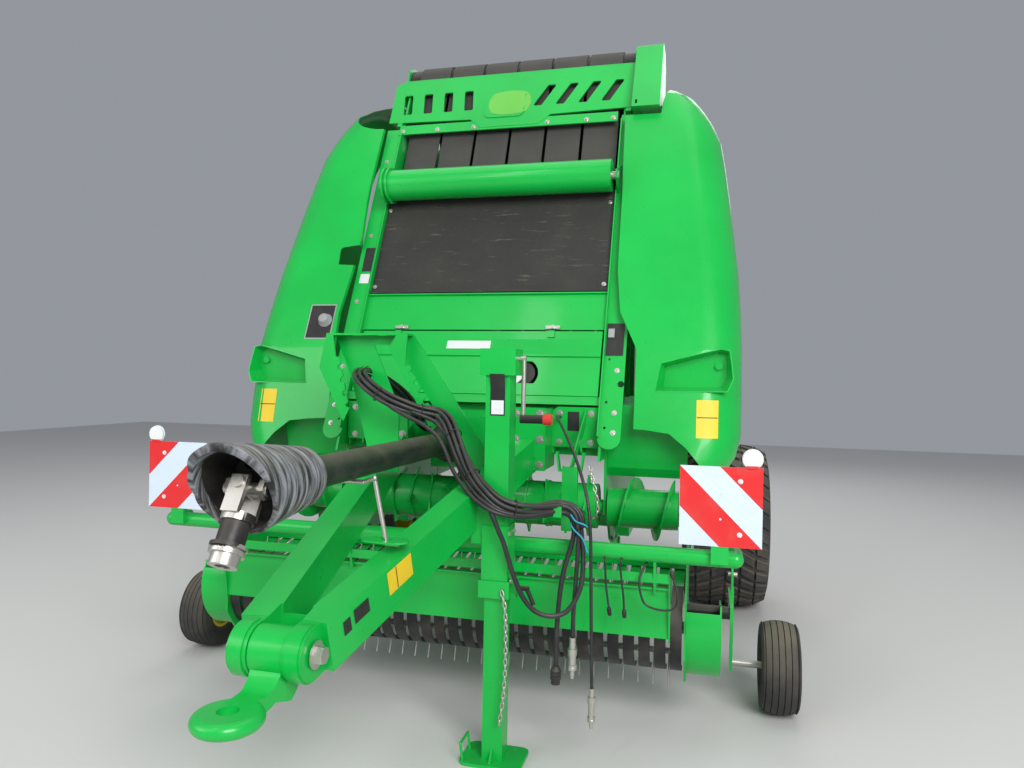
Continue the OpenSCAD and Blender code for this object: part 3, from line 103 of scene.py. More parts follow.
def span(tree, value, low, high, outLow=0.0, outHigh=1.0):
    node = tree.nodes.new("ShaderNodeMapRange")
    node.inputs["From Min"].default_value = low
    node.inputs["From Max"].default_value = high
    node.inputs["To Min"].default_value = outLow
    node.inputs["To Max"].default_value = outHigh
    tree.links.new(value, node.inputs["Value"])
    return node.outputs[0]


def math2(tree, op, a, b=0.0):
    node = tree.nodes.new("ShaderNodeMath")
    node.operation = op
    for i, v in enumerate((a, b)):
        if isinstance(v, (int, float)):
            node.inputs[i].default_value = v
        else:
            tree.links.new(v, node.inputs[i])
    return node.outputs[0]


# Places of the mix node's colour sockets: share, first and second colour, then the result
MIX_INPUTS = (0, 6, 7)
MIX_RESULT = 2


def mixColor(tree, fac, a, b):
    node = tree.nodes.new("ShaderNodeMix")
    node.data_type = "RGBA"
    for place, v in zip(MIX_INPUTS, (fac, a, b)):
        sock = node.inputs[place]
        if isinstance(v, (int, float)):
            sock.default_value = v
        elif isinstance(v, tuple):
            sock.default_value = v + (1.0,)
        else:
            tree.links.new(v, sock)
    return node.outputs[MIX_RESULT]


def bump(tree, shader, height, strength, distance=0.002):
    node = tree.nodes.new("ShaderNodeBump")
    node.inputs["Strength"].default_value = strength
    node.inputs["Distance"].default_value = distance
    tree.links.new(height, node.inputs["Height"])
    tree.links.new(node.outputs[0], shader.inputs["Normal"])


def axisValue(tree, vector, axis):
    split = tree.nodes.new("ShaderNodeSeparateXYZ")
    tree.links.new(vector, split.inputs[0])
    return split.outputs[axis]


def look(color, rough, metal=0.0, coat=0.0, dust=0.15, patch=9.0, grain=(80.0, 0.02)):
    # How a finish looks: colour, gloss, share and size of its dust patches, scale and depth of its grain
    return {"color": color, "rough": rough, "metal": metal, "coat": coat, "dust": dust, "patch": patch,
            "grain": grain}


FINISHES = {
    "green_paint": look("green", 0.30, coat=0.18, dust=0.04, patch=4.0, grain=(50.0, 0.015)),
    "rubber_sheet": look("sheet", 0.62, dust=0.10, patch=5.0, grain=(90.0, 0.12)),
    "belt_rubber": look("belt", 0.62, dust=0.14, grain=(240.0, 0.25)),
    "dark_steel": look("black", 0.42, metal=0.2, dust=0.35, grain=(80.0, 0.10)),
    "zinc": look("zinc", 0.34, metal=0.9, grain=(120.0, 0.08)),
    "guard_plastic": look("black", 0.40, dust=0.40, patch=11.0, grain=(90.0, 0.08)),
    "bell_plastic": look("black", 0.45, dust=0.35, grain=(90.0, 0.08)),
    "badge_green": look("badge", 0.40, dust=0.03),
    "hose_rubber": look("hose", 0.36, dust=0.20, patch=16.0, grain=(320.0, 0.10)),
    "tyre_rubber": look("rubber", 0.80, dust=0.62, patch=7.0, grain=(160.0, 0.25)),
    "rim_paint": look("yellow", 0.38, coat=0.2, dust=0.40, patch=8.0, grain=(70.0, 0.06)),
    "sign_sheet": look("signWhite", 0.40, dust=0.10),
    "lamp_lens": look("lampRed", 0.18, coat=0.3, dust=0.10, grain=(40.0, 0.02)),
    "lamp_amber": look("amber", 0.18, coat=0.3, dust=0.10, grain=(40.0, 0.02)),
    "rod_chrome": look("steel", 0.14, metal=1.0, dust=0.04),
    "decal_yellow": look("yellow", 0.42, patch=14.0, grain=(120.0, 0.02)),
    "decal_black": look("black", 0.46, patch=14.0, grain=(120.0, 0.02)),
    "decal_white": look("white", 0.48, patch=14.0, grain=(120.0, 0.02)),
    "grip_red": look("gripRed", 0.45, patch=14.0, grain=(160.0, 0.05)),
    "tie_cyan": look("cyan", 0.50, dust=0.10, patch=14.0, grain=(400.0, 0.15)),
    "knob_grey": look("knob", 0.42, patch=14.0, grain=(160.0, 0.05)),
    "tine_steel": look("tine", 0.38, metal=0.8, patch=20.0, grain=(160.0, 0.05)),
}
# What all finishes share. A noise is scale, detail, roughness and stretch; a range is from and to
PATCHES = {"detail": 6.0, "range": (0.42, 0.78, 0.0, 0.4)}
UPWARD = (0.3, 1.0, 0.0, 0.6)
SHADE = {"noise": (2.1, 3.0), "range": (0.35, 0.7), "darker": 0.84}
RINGS = {"noise": (60.0, 6.0, 0.7, (0.12, 1.6, 0.12)), "range": (0.42, 0.62, 0.0, 0.8)}
STREAKS = {"noise": (30.0, 6.0, 0.7, (0.25, 1.0, 2.4)), "range": (0.60, 0.74, 0.0, 0.35)}
POLISH = {"detail": 3.0, "range": (0.3, 0.7), "smooth": 0.9, "coarse": 1.15, "dusty": 0.5}
SPECULAR = 0.38
COAT_ROUGHNESS = 0.08


def finish(key):
    # Dust gathers in soft patches and on faces that look up
    surface = FINISHES[key]
    color = COLORS[surface["color"]]
    mat, tree, shader = nodeTree("mat_" + key)
    coord = objectCoord(tree)
    patches = span(tree, noise(tree, coord, surface["patch"], PATCHES["detail"]), *PATCHES["range"])
    normal = tree.nodes.new("ShaderNodeNewGeometry").outputs["Normal"]
    upward = span(tree, axisValue(tree, normal, "Z"), *UPWARD)
    amount = math2(tree, "MULTIPLY", math2(tree, "ADD", patches, upward), surface["dust"])
    shade = span(tree, noise(tree, coord, *SHADE["noise"]), *SHADE["range"])
    tone = mixColor(tree, shade, color, tuple(c * SHADE["darker"] for c in color))
    if key == "bell_plastic":
        # Pale rings where the folds have been rubbed
        rings = span(tree, noise(tree, coord, *RINGS["noise"]), *RINGS["range"])
        tone = mixColor(tree, rings, tone, COLORS["bellDust"])
    if key == "rubber_sheet":
        # Long pale scratches and dried streaks
        streaks = span(tree, noise(tree, coord, *STREAKS["noise"]), *STREAKS["range"])
        tone = mixColor(tree, streaks, tone, COLORS["dust"])
    tree.links.new(mixColor(tree, amount, tone, COLORS["dust"]), shader.inputs["Base Color"])
    grainScale, grainStrength = surface["grain"]
    grain = noise(tree, coord, grainScale, POLISH["detail"])
    smooth, coarse = surface["rough"] * POLISH["smooth"], surface["rough"] * POLISH["coarse"]
    polish = span(tree, grain, *POLISH["range"], smooth, coarse)
    dulled = math2(tree, "ADD", polish, math2(tree, "MULTIPLY", amount, POLISH["dusty"]))
    tree.links.new(dulled, shader.inputs["Roughness"])
    shader.inputs["Metallic"].default_value = surface["metal"]
    shader.inputs["Coat Weight"].default_value = surface["coat"]
    shader.inputs["Specular IOR Level"].default_value = SPECULAR
    shader.inputs["Coat Roughness"].default_value = COAT_ROUGHNESS
    bump(tree, shader, grain, grainStrength)
    return mat


MATS = {key: finish(key) for key in FINISHES}

# The warning boards' bands rise towards the middle of the machine
SIGN = {
    "inner": 0.970, "low": 0.812, "top": 1.10, "side": 0.281, "face": -1.0063, "back": -1.0045, "flat": 0.9,
    "redShare": 0.49,
}
SIGN_SOIL = {"noise": (9.0, 5.0), "range": (0.5, 0.85, 0.0, 0.22), "roughness": (0.0, 0.2, 0.30, 0.50)}
SIGN_CELLS = {"scale": 260.0, "strength": 0.15, "distance": 0.001}


def stripes():
    # Distance along the diagonal, folded into equal bands
    mat, tree, shader = nodeTree("mat_sign_stripes")
    coord = objectCoord(tree)
    across = math2(tree, "ABSOLUTE", axisValue(tree, coord, "X"))
    diagonal = math2(tree, "ADD", across, axisValue(tree, coord, "Z"))
    fromCorner = math2(tree, "SUBTRACT", diagonal, SIGN["inner"] + SIGN["low"])
    phase = math2(tree, "FRACT", math2(tree, "MULTIPLY", fromCorner, 1.0 / SIGN["side"]))
    band = math2(tree, "GREATER_THAN", phase, SIGN["redShare"])
    soil = span(tree, noise(tree, coord, *SIGN_SOIL["noise"]), *SIGN_SOIL["range"])
    color = mixColor(tree, band, COLORS["signWhite"], COLORS["signRed"])
    tree.links.new(mixColor(tree, soil, color, COLORS["dust"]), shader.inputs["Base Color"])
    # Fine cells of the reflecting sheet
    cells = tree.nodes.new("ShaderNodeTexVoronoi")
    cells.inputs["Scale"].default_value = SIGN_CELLS["scale"]
    tree.links.new(coord, cells.inputs["Vector"])
    bump(tree, shader, cells.outputs["Distance"], SIGN_CELLS["strength"], SIGN_CELLS["distance"])
    tree.links.new(span(tree, soil, *SIGN_SOIL["roughness"]), shader.inputs["Roughness"])
    return mat


MATS["sign_stripes"] = stripes()

for name, obj in nodes.items():
    slotName = obj.data.materials[0].name.split(".")[0]
    obj.data.materials.clear()
    obj.data.materials.append(MATS[slotName])
print("materials", len(MATS))

# Camera and lights; the camera looks down before it is turned up to the level
CAMERA = {
    "place": (1.055, -3.761, 1.39), "yaw": 14.43, "pitch": -0.43, "level": 90, "roll": 1.09, "lens": 26.6,
    "sensor": 36.0,
}
cameraData = bpy.data.cameras.new("camera")
cameraData.lens = CAMERA["lens"]
cameraData.sensor_width = CAMERA["sensor"]
camera = bpy.data.objects.new("camera", cameraData)
yawTurn = Matrix.Rotation(math.radians(CAMERA["yaw"]), 4, "Z")
pitchTurn = Matrix.Rotation(math.radians(CAMERA["level"] + CAMERA["pitch"]), 4, "X")
rollTurn = Matrix.Rotation(math.radians(CAMERA["roll"]), 4, "Z")
camera.matrix_world = Matrix.Translation(CAMERA["place"]) @ yawTurn @ pitchTurn @ rollTurn
bpy.context.scene.collection.objects.link(camera)
bpy.context.scene.camera = camera

LIGHTS = {
    "key": {"place": (4.6, -7.5, 5.2), "target": (0, 0, 1.3), "size": (4.5, 4.5), "power": 740},
    "fill": {"place": (-6.0, -6.5, 4.2), "target": (0, 0, 1.2), "size": (5, 4), "power": 200},
    "strip": {"place": (-1.5, -5.5, 5.5), "target": (0.2, -0.3, 2.2), "size": (0.5, 4.0), "power": 45},
    "back": {"place": (0.0, 7.5, 6.0), "target": (0, 0, 1.5), "size": (6, 4), "power": 160},
    "top": {"place": (0.0, 0.5, 8.0), "target": (0, 0, 0), "size": (7, 7), "power": 150},
}
for name, light in LIGHTS.items():
    lightData = bpy.data.lights.new(name, "AREA")
    lightData.shape = "RECTANGLE"
    lightData.size, lightData.size_y = light["size"]
    lightData.energy = light["power"]
    lamp = bpy.data.objects.new(name, lightData)
    lamp.location = light["place"]
    aim = Vector(light["target"]) - Vector(light["place"])
    lamp.rotation_euler = aim.to_track_quat("-Z", "Y").to_euler()
    bpy.context.scene.collection.objects.link(lamp)

WORLD_STRENGTH = 0.34
world = bpy.data.worlds.new("world")
world.use_nodes = True
background = world.node_tree.nodes["Background"]
background.inputs["Color"].default_value = COLORS["sky"] + (1.0,)
background.inputs["Strength"].default_value = WORLD_STRENGTH
bpy.context.scene.world = world
bpy.context.scene.view_settings.view_transform = "Standard"
print("camera and lights", len(LIGHTS))


def meshObject(name, verts, faces, material, smooth=False):
    mesh = bpy.data.meshes.new(name)
    mesh.from_pydata([tuple(v) for v in verts], [], [tuple(f) for f in faces])
    mesh.update()
    if smooth:
        mesh.polygons.foreach_set("use_smooth", [True] * len(mesh.polygons))
    mesh.materials.append(material)
    obj = bpy.data.objects.new(name, mesh)
    bpy.context.scene.collection.objects.link(obj)
    return obj


class Forms:
    # Many small forms gathered into one mesh
    def __init__(self):
        self.verts = []
        self.faces = []

    def add(self, form):
        base = len(self.verts)
        verts, faces = form
        self.verts.extend(tuple(v) for v in verts)
        self.faces.extend(tuple(base + k for k in f) for f in faces)

    def place(self, name, material, body, smooth=False):
        obj = meshObject(name, self.verts, self.faces, MATS[material], smooth)
        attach(obj, body)
        return obj


def gridFaces(rows, cols, closeRows=False, closeCols=False):
    faces = []
    for i in range(rows if closeRows else rows - 1):
        for k in range(cols if closeCols else cols - 1):
            below = ((i + 1) % rows) * cols
            after = (k + 1) % cols
            faces.append((i * cols + k, i * cols + after, below + after, below + k))
    return faces


def smoothPath(points, step):
    # Catmull-Rom curve through the points
    p = np.array(points, float)
    ext = np.vstack([2 * p[0] - p[1], p, 2 * p[-1] - p[-2]])
    out = []
    for a, b, c, d in zip(ext[:-3], ext[1:-2], ext[2:-1], ext[3:]):
        for t in np.linspace(0, 1, max(2, int(np.linalg.norm(c - b) / step)), endpoint=False):
            square = (2 * a - 5 * b + 4 * c - d) * t ** 2
            out.append(0.5 * (2 * b + (c - a) * t + square + (3 * b - a - 3 * c + d) * t ** 3))
    out.append(p[-1])
    return np.array(out)


# A path this close to the Y axis takes its first side direction from the X axis
NEARLY_ALONG = 0.8
TINY = 1e-12


def frames(path):
    # Two side directions for each point, carried along without twist
    tangents = np.gradient(path, axis=0)
    tangents /= np.linalg.norm(tangents, axis=1)[:, None]
    start = ALONG if abs(tangents[0][1]) < NEARLY_ALONG else ACROSS
    side = np.cross(tangents[0], start)
    sides = []
    for t in tangents:
        side = side - t * np.dot(side, t)
        side /= np.linalg.norm(side)
        sides.append(side)
    sides = np.array(sides)
    return sides, np.cross(tangents, sides)


def tube(path, radius, segments):
    path = np.array(path, float)
    a, b = frames(path)
    angles = 2 * np.pi * np.arange(segments) / segments
    verts = []
    for c, u, v in zip(path, a, b):
        verts.extend(c + radius * (np.outer(np.cos(angles), u) + np.outer(np.sin(angles), v)))
    faces = gridFaces(len(path), segments, closeCols=True)
    faces.append(tuple(range(segments - 1, -1, -1)))
    faces.append(tuple((len(path) - 1) * segments + k for k in range(segments)))
    return verts, faces


def revolve(profile, center, axis, segments, close=False):
    # Profile of (radius, height) turned about axis through center
    n = Vector(axis).normalized()
    u = n.orthogonal().normalized()
    v = n.cross(u)
    verts = []
    for i in range(segments):
        a = 2 * math.pi * i / segments
        out = u * math.cos(a) + v * math.sin(a)
        verts.extend(Vector(center) + out * r + n * h for r, h in profile)
    return verts, gridFaces(segments, len(profile), closeRows=True, closeCols=close)


def prism(center, axis, radius, height, sides, top=1.0):
    n = Vector(axis).normalized()
    u = n.orthogonal().normalized()
    v = n.cross(u)
    verts = []
    for h, k in ((0.0, 1.0), (height, top)):
        for i in range(sides):
            a = 2 * math.pi * i / sides
            verts.append(Vector(center) + n * h + (u * math.cos(a) + v * math.sin(a)) * radius * k)
    faces = [(i, (i + 1) % sides, sides + (i + 1) % sides, sides + i) for i in range(sides)]
    return verts, faces + [tuple(range(sides, 2 * sides)), tuple(range(sides - 1, -1, -1))]


def closedLoop(center, long, wide, count):
    # Points of an oval, with the first two again at its end so that a tube closes over itself
    angles = np.linspace(0, 2 * np.pi, count, endpoint=False)
    ring = [center + long * math.cos(a) + wide * math.sin(a) for a in angles]
    return np.array(ring + ring[:2])


def boxForm(center, axes, half):
    c = Vector(center)
    a = [Vector(v).normalized() * h for v, h in zip(axes, half)]
    signs = (-1, 1)
    verts = [c + a[0] * i + a[1] * j + a[2] * k for i in signs for j in signs for k in signs]
    return verts, [(0, 1, 3, 2), (4, 6, 7, 5), (0, 4, 5, 1), (2, 3, 7, 6), (0, 2, 6, 4), (1, 5, 7, 3)]


# Hoses: the routes of part.scad, in millimetres
ROUTES = {
    "bundle": [
        [-194, -390, 1150], [-194, -460, 1160], [-196, -540, 1195], [-204, -620, 1250], [-225, -700, 1310],
        [-255, -780, 1358], [-285, -850, 1390], [-300, -905, 1400], [-296, -955, 1397], [-280, -1000, 1384],
        [-245, -1032, 1360], [-195, -1045, 1328], [-140, -1040, 1298], [-85, -1022, 1276], [-30, -990, 1257],
        [36, -961, 1245], [90, -990, 1215], [140, -1045, 1160], [190, -1105, 1100], [240, -1155, 1045],
        [295, -1186, 995], [355, -1186, 950], [420, -1160, 928], [485, -1110, 922], [545, -1056, 926],
        [586, -1046, 916], [609, -1046, 888], [615, -1046, 850]],
    "loop": [
        [265, -1170, 1020], [292, -1192, 985], [316, -1202, 945], [338, -1204, 900], [356, -1200, 855],
        [374, -1192, 810], [388, -1184, 760], [402, -1174, 710], [418, -1162, 660], [438, -1150, 612],
        [468, -1138, 572], [505, -1126, 550], [545, -1112, 545], [580, -1098, 556], [606, -1086, 584],
        [624, -1074, 622], [634, -1064, 665], [636, -1056, 710], [634, -1048, 760], [629, -1042, 805],
        [624, -1040, 850]],
    "plug": [
        [601, -1050, 850], [597, -1052, 810], [585, -1052, 765], [572, -1052, 720], [561, -1052, 670],
        [553, -1052, 610], [547, -1052, 540], [544, -1052, 470], [543, -1052, 405], [543, -1052, 345]],
    "coupler": [
        [617, -1060, 850], [618, -1062, 800], [616, -1060, 745], [612, -1054, 685], [607, -1048, 615],
        [603, -1046, 540], [602, -1046, 453]],
    "thin": [
        [430, -452, 1225], [430, -500, 1225], [433, -545, 1227], [440, -590, 1230], [450, -640, 1230],
        [464, -690, 1226], [481, -740, 1216], [501, -790, 1200], [523, -838, 1178], [547, -884, 1149],
        [572, -928, 1113], [597, -968, 1070], [620, -1002, 1022], [640, -1030, 970], [653, -1050, 915],
        [660, -1060, 860], [664, -1064, 800], [666, -1066, 735], [668, -1066, 660], [670, -1066, 580],
        [672, -1066, 500], [674, -1066, 425], [676, -1066, 355], [678, -1066, 284]],
}
CORDS = {
    "loop": {"node": "hose_loop", "diameter": 0.018, "end": "object"},
    "plug": {"node": "plug_hose", "diameter": 0.018, "end": "plug"},
    "coupler": {"node": "coupler_hose", "diameter": 0.016, "end": "connector"},
    "thin": {"node": "thin_hose", "diameter": 0.012, "end": "connector"},
}
# What hangs at the hoses' ends: rows of radius and drop below the end, in millimetres
ENDS = {
    "plug": {"finish": "guard_plastic", "rows": [
        (0, 0), (11, 0), (13, 4), (18, 12), (20, 15), (20, 22), (18.5, 23), (18.5, 27), (20, 28), (20, 33),
        (18.5, 34), (18.5, 38), (20, 39), (20, 47), (17, 48.5), (17, 65), (16, 66), (0, 66)]},
    "coupler": {"finish": "zinc", "rows": [
        (0, 0), (12, 0), (12, 10), (11, 11), (11, 14), (12, 15), (12, 39), (17, 41), (17, 65), (14, 67),
        (14, 95), (17, 97), (18, 98), (18, 104), (17, 105.5), (18, 107), (18, 116), (16, 118), (9, 118.5),
        (9, 138), (7.5, 140), (8, 148), (0, 148)]},
    "thin": {"finish": "zinc", "rows": [
        (0, 0), (9, 0), (9, 12), (8.2, 13), (8.2, 16), (9, 17), (9, 29), (14, 31), (14, 55), (11, 57),
        (11, 99), (14, 101), (14, 108), (13, 109.5), (14, 111), (14, 119), (7, 120.5), (7, 138), (6, 139),
        (6, 145), (0, 145)]},
}


PATH_STEP = 0.008
CORD_SIDES = 14
END_SIDES = 28


def metres(route):
    return np.array(route, float) / MM_PER_M


def hoseEnd(name, end):
    profile = [(r / MM_PER_M, -drop / MM_PER_M) for r, drop in ENDS[name]["rows"]]
    fitting = Forms()
    fitting.add(revolve(profile, end, UP, END_SIDES))
    piece = fitting.place("end_" + name, ENDS[name]["finish"], "chassis")
    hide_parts("hose_ends")
    return piece


for name, cord in CORDS.items():
    path = smoothPath(metres(ROUTES[name]), PATH_STEP)
    verts, faces = tube(path, cord["diameter"] / 2, CORD_SIDES)
    hose = meshObject("tube_" + name, verts, faces, MATS["hose_rubber"], True)
    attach(hose, "chassis")
    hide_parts(cord["node"])
    ends = [hoseEnd(name, path[-1])] if name in ENDS else []

# The bundle is six hoses that turn slowly round each other and spread by turns
BUNDLE = {
    "hoses": 6, "radius": 0.0078, "sides": 12, "offset": 0.0190, "turns": 0.9, "spread": 0.28, "stagger": 7,
}
line = smoothPath(metres(ROUTES["bundle"]), PATH_STEP)
sideA, sideB = frames(line)
bundle = Forms()
for i in range(BUNDLE["hoses"]):
    share = i / BUNDLE["hoses"]
    twist = 2 * np.pi * (share + BUNDLE["turns"] * np.linspace(0, 1, len(line)))
    loose = BUNDLE["offset"] * (1 + BUNDLE["spread"] * np.sin(2 * twist + BUNDLE["stagger"] * share))
    shift = (loose * np.cos(twist))[:, None] * sideA + (loose * np.sin(twist))[:, None] * sideB
    bundle.add(tube(line + shift, BUNDLE["radius"], BUNDLE["sides"]))
# Two more hoses sag below the bundle, over the shaft and the beam, in millimetres
LOOSE = (
    [[-195, -1045, 1328], [-130, -1052, 1275], [-60, -1050, 1238], [10, -1045, 1205], [70, -1045, 1160],
     [110, -1065, 1105], [150, -1105, 1050], [200, -1160, 1010], [262, -1205, 965], [330, -1212, 925],
     [400, -1185, 905], [470, -1135, 900], [530, -1085, 906], [575, -1058, 906], [600, -1050, 878]],
    [[-195, -1035, 1338], [-120, -1030, 1288], [-40, -1015, 1250], [40, -1000, 1215], [95, -1020, 1165],
     [140, -1070, 1105], [185, -1120, 1050], [235, -1170, 1003], [300, -1205, 955], [370, -1200, 920],
     [450, -1155, 905], [520, -1098, 912], [575, -1052, 910], [602, -1046, 874]],
)
for route in LOOSE:
    bundle.add(tube(smoothPath(metres(route), PATH_STEP), BUNDLE["radius"], BUNDLE["sides"]))
bundleHoses = bundle.place("bundle_hoses", "hose_rubber", "chassis", True)
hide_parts("hose_bundle")
print("hoses", len(CORDS) + 1)

# Folded sleeve over the shaft's bell: folds, then a mouth cut at a slant; in millimetres from its start
SLEEVE = {
    "start": -1.9, "height": 1.115, "fold": 30.0, "from": 24.0, "widen": 3.2, "root": 48.0, "first": 76.0,
    "rise": 6.0, "turns": 96, "rows": 130, "step": 3.2,
}
SLEEVE_CUT = {"middle": 330.5, "slope": 0.5115, "inside": 99.0, "reach": 30.0, "taper": 2.0, "rounds": 3}


def sleeveRadius(t):
    if t < SLEEVE["from"]:
        swell = math.sin(math.pi / 2 * t / SLEEVE["from"])
        return SLEEVE["root"] + (SLEEVE["first"] - SLEEVE["root"]) * swell
    folds = (t - SLEEVE["from"]) / SLEEVE["fold"]
    return SLEEVE["first"] + SLEEVE["widen"] * folds + SLEEVE["rise"] * abs(math.sin(math.pi * folds))


def sleevePoint(t, radius, angle):
    return (radius * math.cos(angle) / MM_PER_M, SLEEVE["start"] - t / MM_PER_M,
            SLEEVE["height"] + radius * math.sin(angle) / MM_PER_M)


def sleeveGrid():
    turns, rows = SLEEVE["turns"], SLEEVE["rows"]
    verts = []
    for i in range(turns):
        angle = 2 * math.pi * i / turns
        # The slant's depth depends on the radius there, so it is found in a few rounds
        cut = SLEEVE_CUT["middle"]
        for _ in range(SLEEVE_CUT["rounds"]):
            cut = SLEEVE_CUT["middle"] + SLEEVE_CUT["slope"] * sleeveRadius(cut) * math.sin(angle)
        for k in range(rows):
            t = min(k * SLEEVE["step"], cut)
            verts.append(sleevePoint(t, sleeveRadius(t), angle))
        verts.append(sleevePoint(cut, SLEEVE_CUT["inside"], angle))
        inner = SLEEVE_CUT["inside"] - SLEEVE_CUT["taper"]
        verts.append(sleevePoint(cut - SLEEVE_CUT["reach"], inner, angle))
    columns = rows + 2
    faces = []
    for i in range(turns):
        for k in range(columns - 1):
            a, b = i * columns + k, (i + 1) % turns * columns + k
            if verts[a] != verts[a + 1] or verts[b] != verts[b + 1]:
                faces.append((a, a + 1, b + 1, b))
    return verts, faces


sleeve = Forms()
sleeve.add(sleeveGrid())
sleeve.place("bell_sleeve", "bell_plastic", "drive_shaft", True)
print("bell sleeve")


# Digits of a vertex's place that have to agree before two count as one
WELD_DIGITS = 5


def softenNormals(node, limit):
    # Shading normals averaged over neighbours that turn less than the limit; the mesh keeps its shape
    mesh = nodes[node].data
    count = len(mesh.vertices)
    coords = np.empty(count * 3)
    mesh.vertices.foreach_get("co", coords)
    _, place = np.unique(np.round(coords.reshape(-1, 3), WELD_DIGITS), axis=0, return_inverse=True)
    place = place.reshape(-1)
    loopVerts = np.empty(len(mesh.loops), int)
    mesh.loops.foreach_get("vertex_index", loopVerts)
    faceOf = np.repeat(np.arange(len(mesh.polygons)), [p.loop_total for p in mesh.polygons])
    normals = np.array([tuple(p.normal) for p in mesh.polygons])
    areas = np.array([p.area for p in mesh.polygons])
    order = np.argsort(place[loopVerts], kind="stable")
    bounds = np.flatnonzero(np.diff(place[loopVerts][order])) + 1
    custom = np.zeros((len(loopVerts), 3))
    cosLimit = math.cos(math.radians(limit))
    for group in np.split(order, bounds):
        n = normals[faceOf[group]]
        near = (n @ n.T) > cosLimit
        custom[group] = near @ (n * areas[faceOf[group]][:, None])
    custom /= np.maximum(np.linalg.norm(custom, axis=1), TINY)[:, None]
    mesh.polygons.foreach_set("use_smooth", [True] * len(mesh.polygons))
    mesh.normals_split_custom_set([tuple(v) for v in custom])


SOFT_NODES = {
    "shield_left": 22, "shield_right": 22, "feed_rotor": 40, "front_belts": 25, "gate_belts": 25,
    "hitch": 30, "drawbar": 20, "drive_shaft": 16, "grille_plate": 20, "hose_rack": 20, "wind_guard": 32,
    "pickup_frame": 32, "belt_rollers": 32, "guide_roller": 32, "jack_leg": 32, "gauge_arms": 32,
}
for name, limit in SOFT_NODES.items():
    softenNormals(name, limit)
print("shading", len(SOFT_NODES))


def paintFaces(node, materials, choose):
    # choose(centre, normal) gives the material's place in the list, or None for the first finish
    mesh = nodes[node].data
    first = len(mesh.materials)
    for key in materials:
        mesh.materials.append(MATS[key])
    for polygon in mesh.polygons:
        pick = choose(polygon.center, polygon.normal)
        if pick is not None:
            polygon.material_index = first + pick


# The slanted front: its height and how far it leans back for each metre up
SLOPE = {"y": -0.223, "z": 1.8, "rise": 0.4224}
leanAngle = math.atan(SLOPE["rise"])
alongSlope = Vector((0, math.sin(leanAngle), math.cos(leanAngle)))
outOfSlope = Vector((0, -math.cos(leanAngle), math.sin(leanAngle)))


def slopeLocal(point):
    rel = Vector(point) - Vector((0, SLOPE["y"], SLOPE["z"]))
    return rel.x, rel.dot(alongSlope), rel.dot(outOfSlope)


def slopeHeight(z):
    return (z - SLOPE["z"]) / math.cos(leanAngle)


# Gauge wheels; what a tyre's side is made of is said with the main tyres
GAUGE = {
    "x": 1.373, "y": -0.38, "radius": 0.19, "width": 0.155, "bore": 0.095, "ribs": 5, "groove": 0.007,
    "ribShare": 0.40, "bevel": 0.002, "crown": 0.012, "segments": 96,
    "side": (("bore", 0.0, -0.36), ("bore", 0.012, -0.43), ("bore", 0.045, -0.5), ("bore", 0.05, -0.492),
             ("radius", -0.022, -0.485), ("radius", -0.010, -0.44)),
}
# Where the painted faces lie. A circle is y, z and radius of a round piece that runs across the machine
REEL = {"y": -0.64, "z": 0.40, "band": (0.155, 0.1675), "half": 0.97}
SHAFT = {"z": 1.115, "front": -2.10, "radius": 0.062, "jointTop": 1.0}
CRANK = {"x": 0.403, "top": 1.27, "grip": 0.487}
DISC = {"x": 0.24, "radius": 0.0575, "out": (0.001, 0.0125), "low": 1.312, "rise": 0.106}
LAMP = {"plate": 2.0802, "inner": 0.777}
ARM_TUBE = {"circle": (-0.70, 0.492, 0.0245), "half": 1.161}
ARM_STUB = {"circle": (GAUGE["y"], GAUGE["radius"], 0.0155), "from": 1.183}
ARM_PIN = (-0.435, 0.580, 0.0095)
ROLLER_END = 0.5902
REFLECTOR = {"low": 1.089, "x": 1.216, "radius": 0.036}
discAlong = slopeHeight(DISC["low"]) + DISC["rise"]


def inCircle(c, circle):
    y, z, radius = circle
    return math.hypot(c.y - y, c.z - z) < radius


def bandFinish(c, n):
    away = math.hypot(c.y - REEL["y"], c.z - REEL["z"])
    return 0 if REEL["band"][0] < away < REEL["band"][1] and abs(c.x) < REEL["half"] else None


def shaftFinish(c, n):
    inside = math.hypot(c.x, c.z - SHAFT["z"])
    return 0 if c.y < SHAFT["front"] and (inside < SHAFT["radius"] or c.z < SHAFT["jointTop"]) else None


def crankFinish(c, n):
    if c.x < CRANK["x"] or c.z > CRANK["top"]:
        return None
    return 1 if c.x > CRANK["grip"] else 0


def discFinish(c, n):
    x, along, out = slopeLocal(c)
    inside = math.hypot(x - DISC["x"], along - discAlong) < DISC["radius"]
    return 0 if inside and DISC["out"][0] < out < DISC["out"][1] else None


def lampFinish(c, n):
    # Green plate; the inner lens is amber
    if c.y < LAMP["plate"]:
        return 0
    return 1 if abs(c.x) < LAMP["inner"] else None


def armFinish(c, n):
    # The tube that carries the arm is dark, the wheel's stub and the height pin are bare steel
    if inCircle(c, ARM_TUBE["circle"]) and abs(c.x) < ARM_TUBE["half"]:
        return 0
    stub = inCircle(c, ARM_STUB["circle"]) and abs(c.x) > ARM_STUB["from"]
    return 1 if stub or inCircle(c, ARM_PIN) else None


def rollerFinish(c, n):
    return 0 if abs(c.x) > ROLLER_END else None


def signFinish(c, n):
    # Stripes on the board's front, white on the round reflector above it, green on what holds them
    if SIGN["face"] > c.y and abs(n.y) > SIGN["flat"] and SIGN["low"] < c.z < SIGN["top"]:
        return 0
    if c.z > REFLECTOR["low"] and abs(abs(c.x) - REFLECTOR["x"]) < REFLECTOR["radius"]:
        return 1
    return None if c.y < SIGN["back"] and c.z > SIGN["low"] else 2


